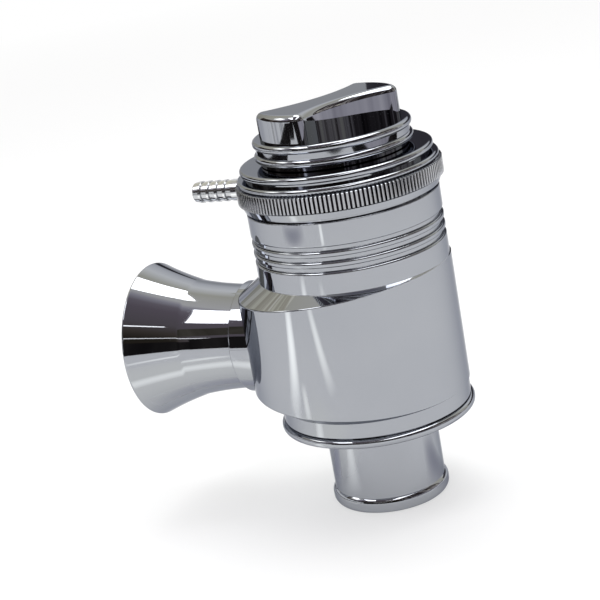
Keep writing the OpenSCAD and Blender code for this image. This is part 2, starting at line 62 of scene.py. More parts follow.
# Largest turn between two points of a rounding, how much finer a bead is, and the share of a stretch
# that keeps it flat
ARC_STEP = math.radians(12)
BEAD_FINENESS = 1.6
HOLD = 0.02
# The largest share of a stretch that a rounding takes up
ROOM = 0.94
# A bead's rounding that turns further than this, in radians, runs out level
LEVEL = 1.57
# How far a cutter stands out past what it cuts, in mm
OVERSHOOT = 2.0
# Points closer than this are one point, in metres
WELD = 2e-6
SMOOTH_ANGLE = math.radians(32)
# The crests and the hollows of the cap's knurl, as radii in mm
KNURL_CREST = 30.5
KNURL_HOLLOW = 29.65

Piece = bpy.types.Object
Point = tuple[float, float]
Colour = tuple[float, float, float, float]


class Body(Enum):
    """The bodies of the frame that pieces ride on."""

    HOUSING = "housing"
    PISTON = "piston"
    KNOB = "knob"
    SPRING_SEAT = "spring_seat"


class Slot(Enum):
    """The record's material slots."""

    POLISHED = "polished_alloy"
    MACHINED = "machined_alloy"
    STEEL = "steel"
    RUBBER = "black_rubber"
    POLYMER = "white_polymer"


@dataclass(frozen=True)
class Corner:
    """One corner of a half section: its radius, its height and how far it is rounded, in mm."""

    r: float
    z: float
    rounding: float = 0.0

    def place(self) -> Vector:
        """Returns the corner as a flat vector."""
        return Vector((self.r, self.z))


def rounding_points(before: Corner, corner: Corner, after: Corner) -> list[Point]:
    """Replaces one corner by an arc, with a holding point on each side that keeps the stretches flat.

    Args:
        before: The corner before this one.
        corner: The corner to round.
        after: The corner after this one.

    Returns:
        The points of the arc in order.
    """
    here = corner.place()
    back, ahead = before.place() - here, after.place() - here
    half = back.angle(ahead) / 2
    room = ROOM * min(back.length, ahead.length)
    reach = min(corner.rounding / math.tan(half), room)
    radius = reach * math.tan(half)
    back_way, ahead_way = back.normalized(), ahead.normalized()
    centre = here + (back_way + ahead_way).normalized() * (radius / math.sin(half))
    start, end = here + back_way * reach, here + ahead_way * reach
    sweep = math.pi - 2 * half
    first, last = start - centre, end - centre
    if first.x * last.y - first.y * last.x < 0:
        sweep = -sweep
    steps = max(3, math.ceil(abs(sweep) / ARC_STEP))
    arc = [centre + Matrix.Rotation(sweep * k / steps, 2) @ first for k in range(steps + 1)]
    lead = start + back_way * min(HOLD, HOLD * back.length)
    tail = end + ahead_way * min(HOLD, HOLD * ahead.length)
    return [(p.x, p.y) for p in (lead, *arc, tail)]


def rounded_outline(corners: Sequence[Corner]) -> list[Point]:
    """Turns the corners of a closed half section into points.

    Args:
        corners: The corners in order round the section.

    Returns:
        The points of the section, with every rounded corner as an arc.
    """
    points: list[Point] = []
    for i, corner in enumerate(corners):
        if corner.rounding > 0:
            points += rounding_points(corners[i - 1], corner, corners[(i + 1) % len(corners)])
        else:
            points.append((corner.r, corner.z))
    return points


def bead(r: float, low: float, high: float, edge: float,
         foot_low: float = 0.0, foot_high: float = 0.0) -> list[Corner]:
    """Outline of a round bead, from its top down.

    Args:
        r: Radius over the bead.
        low: Height of its underside.
        high: Height of its top.
        edge: Radius of its two roundings.
        foot_low: Radius at which the lower rounding ends, if it ends before it is level.
        foot_high: The same for the upper rounding.

    Returns:
        The corners, with a holding point beside a rounding that runs out level.
    """
    middle = r - edge
    ends = [math.acos(min(1.0, max(0.0, (foot - middle) / edge))) for foot in (foot_high, foot_low)]
    section: list[Corner] = []
    for end, height, sign in ((ends[0], high - edge, 1), (ends[1], low + edge, -1)):
        steps = max(4, math.ceil(end / ARC_STEP * BEAD_FINENESS))
        turns = [end * k / steps for k in range(steps + 1)]
        arc = [Corner(middle + edge * math.cos(a), height + sign * edge * math.sin(a)) for a in turns]
        section += reversed(arc) if sign > 0 else arc
    if ends[0] > LEVEL:
        section.insert(0, Corner(middle - HOLD, high))
    if ends[1] > LEVEL:
        section.append(Corner(middle - HOLD, low))
    return section


def long_arc(start: Point, end: Point, radius: float, steps: int) -> list[Corner]:
    """Points of one long arc that bulges towards the axis.

    Args:
        start: Radius and height where the arc starts.
        end: Radius and height where it ends, further up.
        radius: Radius of curvature.
        steps: Number of stretches.

    Returns:
        The corners from start to end.
    """
    first, last = Vector(start), Vector(end)
    chord = last - first
    back = math.sqrt(radius**2 - chord.length**2 / 4)
    outward = Vector((chord.y, -chord.x)).normalized()
    centre = (first + last) / 2 + outward * back
    sweep = (first - centre).angle(last - centre)
    turned = [centre + Matrix.Rotation(-sweep * k / steps, 2) @ (first - centre) for k in range(steps + 1)]
    return [Corner(p.x, p.y) for p in turned]


class Bench:
    """The modelling moves that the pieces share."""

    @staticmethod
    def clear() -> None:
        """Deselects every object."""
        bpy.ops.object.select_all(action="DESELECT")

    @staticmethod
    def edit() -> None:
        """Goes to edit mode with vertices selectable."""
        bpy.ops.object.mode_set(mode="EDIT")
        bpy.ops.mesh.select_mode(type="VERT")

    @staticmethod
    def leave() -> None:
        """Goes back to object mode."""
        bpy.ops.object.mode_set(mode="OBJECT")

    @staticmethod
    def take(piece: Piece) -> None:
        """Makes one object the only selected and the active one.

        Args:
            piece: The object.
        """
        Bench.clear()
        piece.select_set(True)
        bpy.context.view_layer.objects.active = piece

    @staticmethod
    def pick(piece: Piece, wanted: Callable[[bpy.types.MeshVertex], bool]) -> None:
        """Selects vertices by their place and goes to edit mode.

        Args:
            piece: The object to edit.
            wanted: Says whether a vertex is selected.
        """
        Bench.take(piece)
        Bench.edit()
        bpy.ops.mesh.select_all(action="DESELECT")
        Bench.leave()
        for vertex in piece.data.vertices:
            vertex.select = wanted(vertex)
        Bench.edit()

    @staticmethod
    def settle() -> None:
        """Settles the selected object's place and turn in its mesh."""
        bpy.ops.object.transform_apply(location=True, rotation=True, scale=True)

    @staticmethod
    def named(name: str) -> Piece:
        """Names the object that was just added.

        Args:
            name: Its name.

        Returns:
            The object.
        """
        piece = bpy.context.object
        piece.name = name
        return piece

    @staticmethod
    def draw(name: str, places: Sequence[Vector]) -> Piece:
        """Draws a chain of edges: a small circle merged to a vertex, extruded from place to place.

        It stays in edit mode.

        Args:
            name: Name of the new object.
            places: Places of the vertices, in metres.

        Returns:
            The new object.
        """
        Bench.clear()
        bpy.ops.mesh.primitive_circle_add(vertices=3, radius=MM, location=places[0])
        piece = Bench.named(name)
        piece.data.name = name
        Bench.settle()
        Bench.edit()
        bpy.ops.mesh.select_all(action="SELECT")
        bpy.ops.mesh.merge(type="CENTER")
        for here, there in pairwise(places):
            bpy.ops.mesh.extrude_vertices_move(TRANSFORM_OT_translate={"value": there - here})
        bpy.ops.mesh.select_all(action="SELECT")
        return piece

    @staticmethod
    def turn(name: str, corners: Sequence[Corner], steps: int = SPIN_STEPS) -> Piece:
        """Turns a closed half section round the Z axis, as on a lathe.

        Args:
            name: Name of the new object.
            corners: Corners of the half section in order.
            steps: Steps round the axis.

        Returns:
            The turned object, closed.
        """
        points = rounded_outline(corners)
        places = [Vector((r * MM, 0, z * MM)) for r, z in (*points, points[0])]
        piece = Bench.draw(name, places)
        bpy.ops.mesh.spin(steps=steps, angle=math.tau, center=(0, 0, 0), axis=(0, 0, 1))
        Bench.close_up()
        return piece

    @staticmethod
    def close_up() -> None:
        """Welds the mesh in edit mode, turns its faces outwards and leaves edit mode."""
        bpy.ops.mesh.select_all(action="SELECT")
        bpy.ops.mesh.remove_doubles(threshold=WELD)
        bpy.ops.mesh.dissolve_degenerate(threshold=WELD / 4)
        bpy.ops.mesh.select_all(action="SELECT")
        bpy.ops.mesh.normals_make_consistent(inside=False)
        Bench.leave()

    @staticmethod
    def lay(piece: Piece, height: float) -> None:
        """Lays a piece made along +Z towards the trumpet's side and settles it there.

        Args:
            piece: The object.
            height: Height of its axis above the origin, in mm.
        """
        Bench.take(piece)
        piece.rotation_euler = (0, -math.pi / 2, 0)
        piece.location = (0, 0, height * MM)
        Bench.settle()

    @staticmethod
    def cut(piece: Piece, cutter: Piece) -> None:
        """Cuts one object out of another and removes the cutter.

        Args:
            piece: The object that is cut.
            cutter: The shape of the cut.
        """
        Bench.take(piece)
        knife = piece.modifiers.new("cut", "BOOLEAN")
        knife.operation = "DIFFERENCE"
        knife.solver = "EXACT"
        knife.object = cutter
        bpy.ops.object.modifier_apply(modifier=knife.name)
        bpy.data.objects.remove(cutter)

    @staticmethod
    def join(piece: Piece, others: Iterable[Piece]) -> None:
        """Joins other objects into one.

        Args:
            piece: The object that the others become part of.
            others: Those objects.
        """
        Bench.take(piece)
        for other in others:
            other.select_set(True)
        bpy.ops.object.join()

    @staticmethod
    def smooth(piece: Piece) -> None:
        """Shades a piece smooth, with its sharp edges kept."""
        Bench.take(piece)
        bpy.ops.object.shade_smooth_by_angle(angle=SMOOTH_ANGLE)


class Wire:
    """A socket that takes part in Python expressions, each of which adds its Math node."""

    def __init__(self, sheet: "Sheet", socket: bpy.types.NodeSocket) -> None:
        """Wraps one output socket of a sheet."""
        self.sheet = sheet
        self.socket = socket

    def __add__(self, other: "Wire | float") -> "Wire":
        """Adds a wire or a number."""
        return self.sheet.math("ADD", self, other)

    def __sub__(self, other: "Wire | float") -> "Wire":
        """Takes away a wire or a number."""
        return self.sheet.math("SUBTRACT", self, other)

    def __mul__(self, other: "Wire | float") -> "Wire":
        """Multiplies by a wire or a number."""
        return self.sheet.math("MULTIPLY", self, other)

    def __rsub__(self, other: float) -> "Wire":
        """Takes this wire away from a number."""
        return self.sheet.math("SUBTRACT", other, self)

    __radd__ = __add__
    __rmul__ = __mul__

    def most(self, other: "Wire | float") -> "Wire":
        """Returns the larger of the two."""
        return self.sheet.math("MAXIMUM", self, other)

    def least(self, other: "Wire | float") -> "Wire":
        """Returns the smaller of the two."""
        return self.sheet.math("MINIMUM", self, other)


class Sheet:
    """A node tree that is drawn with expressions."""

    def __init__(self, tree: bpy.types.NodeTree) -> None:
        """Starts with an empty tree."""
        self.tree = tree
        tree.nodes.clear()

    def node(self, kind: str, settings: dict[str, object] | None = None,
             inputs: dict[str | int, object] | None = None) -> bpy.types.Node:
        """Adds a node.

        Args:
            kind: The node's type.
            settings: Properties that are set first; stops are the stops of a ramp.
            inputs: Values or wires for its sockets, by name or number.

        Returns:
            The node.
        """
        made = self.tree.nodes.new(kind)
        for key, value in (settings or {}).items():
            if key == "stops":
                self._set_stops(made, value)
            else:
                setattr(made, key, value)
        for key, value in (inputs or {}).items():
            if isinstance(value, Wire):
                self.tree.links.new(value.socket, made.inputs[key])
            else:
                made.inputs[key].default_value = value
        return made

    def _set_stops(self, ramp: bpy.types.Node, stops: Sequence[tuple[float, Colour]]) -> None:
        """Sets the stops of a colour ramp.

        Args:
            ramp: The ramp's node.
            stops: The place and colour of each stop, in order.
        """
        elements = ramp.color_ramp.elements
        while len(elements) < len(stops):
            elements.new(1.0)
        for element, (place, colour) in zip(elements, stops):
            element.position = place
            element.color = colour

    def out(self, made: bpy.types.Node, socket: str | int = 0) -> Wire:
        """Returns one output of a node as a wire."""
        return Wire(self, made.outputs[socket])

    def math(self, operation: str, first: Wire | float, second: Wire | float) -> Wire:
        """Adds one Math node."""
        return self.out(self.node("ShaderNodeMath", {"operation": operation}, {0: first, 1: second}))

    def noise(self, vector: Wire, scale: float, detail: float = 2.0) -> Wire:
        """Adds a noise texture on a vector and returns its value."""
        sockets = {"Vector": vector, "Scale": scale, "Detail": detail}
        return self.out(self.node("ShaderNodeTexNoise", {}, sockets))

    def stretch(self, vector: Wire, scale: tuple[float, float, float]) -> Wire:
        """Scales a vector along its axes."""
        return self.out(self.node("ShaderNodeMapping", {}, {"Vector": vector, "Scale": scale}))

    def place(self) -> Wire:
        """Returns the Object coordinates."""
        return self.out(self.node("ShaderNodeTexCoord"), "Object")

    def length(self, vector: Wire) -> Wire:
        """Returns the length of a vector."""
        return self.out(self.node("ShaderNodeVectorMath", {"operation": "LENGTH"}, {0: vector}), "Value")

    def ramp(self, value: Wire, stops: Sequence[tuple[float, Colour]]) -> Wire:
        """Maps a value to a colour."""
        return self.out(self.node("ShaderNodeValToRGB", {"stops": stops}, {"Fac": value}))


def blank_material(name: str) -> tuple[bpy.types.Material, Sheet]:
    """Makes a material without nodes.

    Args:
        name: Its name.

    Returns:
        The material and the sheet of its nodes.
    """
    made = bpy.data.materials.new(name)
    made.use_nodes = True
    return made, Sheet(made.node_tree)


@dataclass(frozen=True)
class Finish:
    """A surface finish: two near tones, a sheen, the fine relief of its making and, on a knurl, painted shade
    in its hollows.
    """

    name: str
    slot: Slot
    tone: Colour
    other_tone: Colour
    roughness: float
    roughness_spread: float
    waviness: float
    grain: float
    grain_scale: float
    grain_stretch: tuple[float, float, float] = (1, 1, 1)
    metallic: float = 1.0
    edge_tint: Colour = (1, 1, 1, 1)
    crest: float = 0.0
    hollow: float = 0.0
    # Ramp of painted shade: darkest at a knurl's hollows, none from halfway up to its crests
    painted_hollow_shade: tuple[tuple[float, Colour], ...] = ((0.08, (0.035, 0.03, 0.038, 1)), (0.5, (1, 1, 1, 1)))
    cloud_scale: float = 38.0
    swell_scale: float = 95.0

    def paint_hollow_shade(self, sheet: Sheet, place: Wire, colour: Wire) -> Wire:
        """Paints shade into the hollows of a knurl, which lie nearer to the axis than its crests.

        Args:
            sheet: The material's nodes.
            place: Object coordinates.
            colour: The colour of the crests.

        Returns:
            The colour at each place.
        """
        level = sheet.stretch(place, (1, 1, 0))
        reach = sheet.length(level)
        share = (reach * (1 / MM) - self.hollow) * (1 / (self.crest - self.hollow))
        mix = sheet.node("ShaderNodeMix", {"data_type": "RGBA", "blend_type": "MULTIPLY"},
                         {"Factor": 1.0, 6: colour, 7: sheet.ramp(share, self.painted_hollow_shade)})
        return sheet.out(mix, 2)

    def material(self) -> bpy.types.Material:
        """Makes the material.

        Returns:
            A material on Object coordinates.
        """
        made, sheet = blank_material(self.name)
        place = sheet.place()
        cloud = sheet.noise(place, self.cloud_scale, 3.0)
        grain = sheet.noise(sheet.stretch(place, self.grain_stretch), self.grain_scale, 3.0)
        colour = sheet.ramp(cloud, [(0.3, self.tone), (0.7, self.other_tone)])
        if self.crest > 0:
            colour = self.paint_hollow_shade(sheet, place, colour)
        spread = self.roughness_spread
        rough = self.roughness + (grain - 0.5) * spread + (cloud - 0.5) * spread
        swell = sheet.noise(place, self.swell_scale, 1.0)
        relief = swell * self.waviness + grain * self.grain
        bump = sheet.node("ShaderNodeBump", {}, {"Strength": 1.0, "Distance": 1.0, "Height": relief})
        shader = sheet.node("ShaderNodeBsdfPrincipled", {}, {
            "Base Color": colour, "Metallic": self.metallic, "Roughness": rough, "Normal": sheet.out(bump),
            "Specular Tint": self.edge_tint})
        sheet.node("ShaderNodeOutputMaterial", {}, {"Surface": sheet.out(shader)})
        return made


# The heights of waviness and grain are in metres
POLISHED = Finish(
    "polished_alloy", Slot.POLISHED, (0.355, 0.37, 0.4, 1), (0.373, 0.387, 0.415, 1), roughness=0.035,
    roughness_spread=0.02, waviness=3e-6, grain=2e-8, grain_scale=2600.0, edge_tint=(0.48, 0.49, 0.53, 1))
# The knurl's hollows get painted shade, darker the nearer they lie to the axis
KNURLED = Finish(
    "knurled_alloy", Slot.POLISHED, (0.4, 0.405, 0.43, 1), (0.44, 0.45, 0.475, 1), roughness=0.13,
    roughness_spread=0.06, waviness=3e-6, grain=2e-8, grain_scale=2600.0, crest=KNURL_CREST,
    hollow=KNURL_HOLLOW)
SATIN = Finish(
    "satin_alloy", Slot.POLISHED, (0.42, 0.43, 0.45, 1), (0.6, 0.61, 0.63, 1), roughness=0.14,
    roughness_spread=0.14, waviness=8e-6, grain=2e-6, grain_scale=1500.0)
MACHINED = Finish(
    "machined_alloy", Slot.MACHINED, (0.5, 0.515, 0.54, 1), (0.58, 0.59, 0.61, 1), roughness=0.24,
    roughness_spread=0.12, waviness=1e-6, grain=2e-6, grain_scale=9000.0, grain_stretch=(0.02, 0.02, 1))
STEEL = Finish(
    "plain_steel", Slot.STEEL, (0.42, 0.42, 0.43, 1), (0.5, 0.5, 0.5, 1), roughness=0.28,
    roughness_spread=0.14, waviness=1e-6, grain=1e-6, grain_scale=4000.0)
RUBBER = Finish(
    "black_rubber", Slot.RUBBER, (0.018, 0.018, 0.019, 1), (0.028, 0.028, 0.029, 1), roughness=0.46,
    roughness_spread=0.12, waviness=2e-6, grain=4e-6, grain_scale=5200.0, metallic=0.0)
POLYMER = Finish(
    "white_polymer", Slot.POLYMER, (0.72, 0.71, 0.67, 1), (0.78, 0.77, 0.73, 1), roughness=0.38,
    roughness_spread=0.1, waviness=2e-6, grain=2e-6, grain_scale=3600.0, metallic=0.0)


@dataclass
class Dresser:
    """Keeps one material per finish and puts it on pieces."""

    made: dict[str, bpy.types.Material] = field(default_factory=dict)

    def material(self, finish: Finish) -> bpy.types.Material:
        """Gives a finish's material, made on first use.

        Args:
            finish: The finish.

        Returns:
            Its material.
        """
        if finish.name not in self.made:
            self.made[finish.name] = finish.material()
        return self.made[finish.name]

    def dress(self, piece: Piece, finish: Finish) -> None:
        """Gives a piece one finish."""
        piece.data.materials.clear()
        piece.data.materials.append(self.material(finish))

    def dress_part(self, piece: Piece, finish: Finish,
                   wanted: Callable[[bpy.types.MeshPolygon], bool]) -> None:
        """Gives some faces of a finished piece a further finish.

        Args:
            piece: The piece.
            finish: The finish of those faces.
            wanted: Says whether a face gets it.
        """
        piece.data.materials.append(self.material(finish))
        for face in piece.data.polygons:
            if wanted(face):
                face.material_index = len(piece.data.materials) - 1

    def fit(self, piece: Piece, finish: Finish, body: Body | None, *nodes: str) -> None:
        """Finishes a piece and puts it in the place of its nodes.

        Args:
            piece: The modelled piece.
            finish: Its finish.
            body: The body it rides on, or None for one that reaches from body to body.
            nodes: The nodes it stands for.
        """
        self.dress(piece, finish)
        if body is not None:
            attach(piece, body.value)
        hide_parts(*nodes)

    def dress_nodes(self, finish: Finish, names: Iterable[str]) -> None:
        """Gives CAD nodes that stay in view a finish.

        Args:
            finish: The finish.
            names: The names of the nodes.
        """
        for name in names:
            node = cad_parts[name]
            for slot in node.material_slots:
                slot.material = self.material(finish)


@dataclass
class ValveBody:
    """The body: a grooved upper cylinder and a wider belly that lies towards the trumpet."""

    radius: float = 28.6
    bottom: float = 28.7
    belly_low: float = 33.7
    belly_high: float = 73.2
    top: float = 94.2
    belly_offset: float = 3.8
    belly_rise: float = 0.15
    belly_slope: float = math.radians(35)
    belly_edge: float = 0.9
    inner_edge: float = 0.25
    bore: float = 20.0
    base_recess: float = 24.02
    seat: float = 35.9
    cap_recess: float = 25.02
    cap_floor: float = 87.1
    groove_heights: tuple[float, ...] = (80.3, 83.35, 86.4)
    groove_width: float = 1.3
    groove_depth: float = 0.9
    groove_lip: float = 0.6
    groove_floor: float = 0.2
    edge: float = 0.3
    foot_edge: float = 0.7
    port_height: float = 51.6
    port: float = 15.52
    spot: float = 17.22
    spot_seat: float = 30.5

    def belly_reach(self) -> float:
        """Returns how far the belly stands out on the trumpet's side."""
        return 2 * self.belly_offset + self.belly_rise

    def corners(self) -> list[Corner]:
        """Lays out the half section, with the belly as it is on the trumpet's side.

        Returns:
            The corners in order round the section.
        """
        reach = self.belly_reach()
        drop = reach * math.tan(self.belly_slope)
        half = self.groove_width / 2
        floor = self.radius - self.groove_depth
        section = [
            Corner(self.base_recess, self.bottom), Corner(self.radius, self.bottom, self.foot_edge),
            Corner(self.radius, self.belly_low, self.inner_edge),
            Corner(self.radius + reach, self.belly_low + drop, self.belly_edge),
            Corner(self.radius + reach, self.belly_high - drop, self.belly_edge),
            Corner(self.radius, self.belly_high, self.inner_edge)]
        for height in self.groove_heights:
            low, high = height - half, height + half
            section += [
                Corner(self.radius, low, self.groove_lip), Corner(floor, low, self.groove_floor),
                Corner(floor, high, self.groove_floor), Corner(self.radius, high, self.groove_lip)]
        section += [
            Corner(self.radius, self.top, self.edge), Corner(self.cap_recess, self.top),
            Corner(self.cap_recess, self.cap_floor), Corner(self.bore, self.cap_floor),
            Corner(self.bore, self.seat), Corner(self.base_recess, self.seat)]
        return section

    def shift_belly(self, piece: Piece) -> None:
        """Moves the belly's rings from round the axis to their places off it.

        A ring that stands out by a share of the reach gets that share of the offset and leans so that it
        meets the upper body opposite the trumpet.

        Args:
            piece: The turned body.
        """
        reach = self.belly_reach()
        middle = (self.belly_low + self.belly_high) / 2
        for r, z in rounded_outline(self.corners()):
            share = (r - self.radius) / reach
            if share < 1e-6:
                continue
            start = self.belly_high if z > middle else self.belly_low
            ring_r = self.radius + share * (self.belly_offset + self.belly_rise)
            lean_run = (z - start) * (1 - self.belly_rise / reach)
            lean = math.atan2(lean_run, 2 * ring_r)
            centre = Vector((-share * self.belly_offset, 0, z - lean_run / 2)) * MM
            Bench.pick(piece, lambda v, r=r, z=z: abs(v.co.z - z * MM) < WELD
                       and abs(math.hypot(v.co.x, v.co.y) - r * MM) < WELD)
            scale = ring_r / r
            bpy.ops.transform.resize(value=(scale / math.cos(lean), scale, 1), center_override=(0, 0, z * MM))
            bpy.ops.transform.translate(value=centre - Vector((0, 0, z * MM)))
            bpy.ops.transform.rotate(value=-lean, orient_axis="Y", center_override=centre)
            Bench.leave()

    def build(self) -> Piece:
        """Models the body.

        Returns:
            The body with its belly and its trumpet port.
        """
        piece = Bench.turn("body", self.corners())
        self.shift_belly(piece)
        far = self.radius + self.belly_reach() * 2
        cutter = Bench.turn("port_cutter", [
            Corner(0, self.bore / 2), Corner(self.port, self.bore / 2), Corner(self.port, self.spot_seat),
            Corner(self.spot, self.spot_seat), Corner(self.spot, far), Corner(0, far)])
        Bench.lay(cutter, self.port_height)
        Bench.cut(piece, cutter)
        Bench.smooth(piece)
        return piece

    def dress(self, piece: Piece, dresser: Dresser) -> None:
        """Polishes the body and puts it in its node's place."""
        dresser.fit(piece, POLISHED, Body.HOUSING, "valve_body")


@dataclass
class InletBase:
    """The base: a thin round lip under the body and the spigot that screws into it."""

    lip: float = 29.6
    low: float = 26.0
    high: float = 28.7
    lip_edge: float = 1.215
    spigot: float = 24.0
    seat: float = 35.9
    throat: float = 14.8
    throat_low: float = 29.9
    tail_hole: float = 16.42
    edge: float = 0.3

    def build(self) -> Piece:
        """Models the base.

        Returns:
            The turned base.
        """
        piece = Bench.turn("base", [
            Corner(self.tail_hole, self.low), *reversed(bead(self.lip, self.low, self.high, self.lip_edge)),
            Corner(self.spigot, self.high),
            Corner(self.spigot, self.seat, self.edge), Corner(self.throat, self.seat, self.edge),
            Corner(self.throat, self.throat_low), Corner(self.tail_hole, self.throat_low)])
        Bench.smooth(piece)
        return piece

    def dress(self, piece: Piece, dresser: Dresser) -> None:
        """Polishes the base and puts it in its node's place."""
        dresser.fit(piece, POLISHED, Body.HOUSING, "inlet_base")


@dataclass
class HoseTail:
    """The hose tail: a plain tube with a low bead at its open end."""

    radius: float = 17.0
    bore: float = 14.0
    length: float = 26.0
    bead: float = 17.9
    bead_width: float = 4.6
    bead_edge: float = 2.2
    bead_sink: float = 0.4
    mouth: float = 0.5
    shank: float = 16.4
    shank_top: float = 29.9
    end_step: float = 0.3

    def build(self) -> Piece:
        """Models the tail.

        Returns:
            The turned tail.
        """
        swell = bead(self.bead, -self.bead_sink, self.bead_width + self.bead_sink, self.bead_edge,
                     self.radius, self.radius)
        piece = Bench.turn("tail", [
            Corner(self.bore, 0, self.mouth), Corner(self.radius - self.end_step, 0), *reversed(swell),
            Corner(self.radius, self.length), Corner(self.shank, self.length),
            Corner(self.shank, self.shank_top), Corner(self.bore, self.shank_top)])
        Bench.smooth(piece)
        return piece

    def dress(self, piece: Piece, dresser: Dresser) -> None:
        """Polishes the tail and puts it in its node's place."""
        dresser.fit(piece, POLISHED, Body.HOUSING, "hose_tail")


@dataclass
class Trumpet:
    """The trumpet: a collar, a neck that swells to a crease, and a bell with a thin rim."""

    height: float = 51.6
    spigot: float = 15.5
    spigot_start: float = 22.5
    seat: float = 30.5
    collar: float = 17.2
    collar_end: float = 37.9
    collar_edge: float = 0.45
    neck: float = 16.1
    neck_curve: float = 108.0
    crease: float = 18.0
    crease_at: float = 54.8
    bell_curve: float = 118.0
    rim: float = 24.3
    rim_at: float = 71.1
    rim_edge: float = 1.0
    rim_rounding: float = 0.56
    mouth_rounding: float = 0.2
    bore: float = 13.5
    flare_at: float = 50.0
    steps: int = 28

    def build(self) -> Piece:
        """Models the trumpet, turned along Z and then laid along its own axis.

        Returns:
            The trumpet.
        """
        mouth = self.rim - self.rim_edge
        rise, run = mouth - self.bore, self.rim_at - self.flare_at
        flare_curve = (run**2 + rise**2) / (2 * rise)
        crease, rim = (self.crease, self.crease_at), (self.rim, self.rim_at)
        flare = long_arc((self.bore, self.flare_at), (mouth, self.rim_at), flare_curve, self.steps)
        neck = long_arc((self.neck, self.collar_end), crease, self.neck_curve, self.steps)
        bell = long_arc(crease, rim, self.bell_curve, self.steps)
        # The bell's last points give way to the rounding of the rim
        piece = Bench.turn("trumpet_horn", [
            Corner(self.spigot, self.spigot_start), Corner(self.spigot, self.seat),
            Corner(self.collar, self.seat), Corner(self.collar, self.collar_end, self.collar_edge),
            *neck[:-1], *bell[:-3], Corner(self.rim, self.rim_at, self.rim_rounding),
            Corner(mouth, self.rim_at, self.mouth_rounding), *reversed(flare[:-1]),
            Corner(self.bore, self.spigot_start)])
        Bench.lay(piece, self.height)
        Bench.smooth(piece)
        return piece

    def dress(self, piece: Piece, dresser: Dresser) -> None:
        """Polishes the trumpet and puts it in its node's place."""
        dresser.fit(piece, POLISHED, Body.HOUSING, "trumpet")


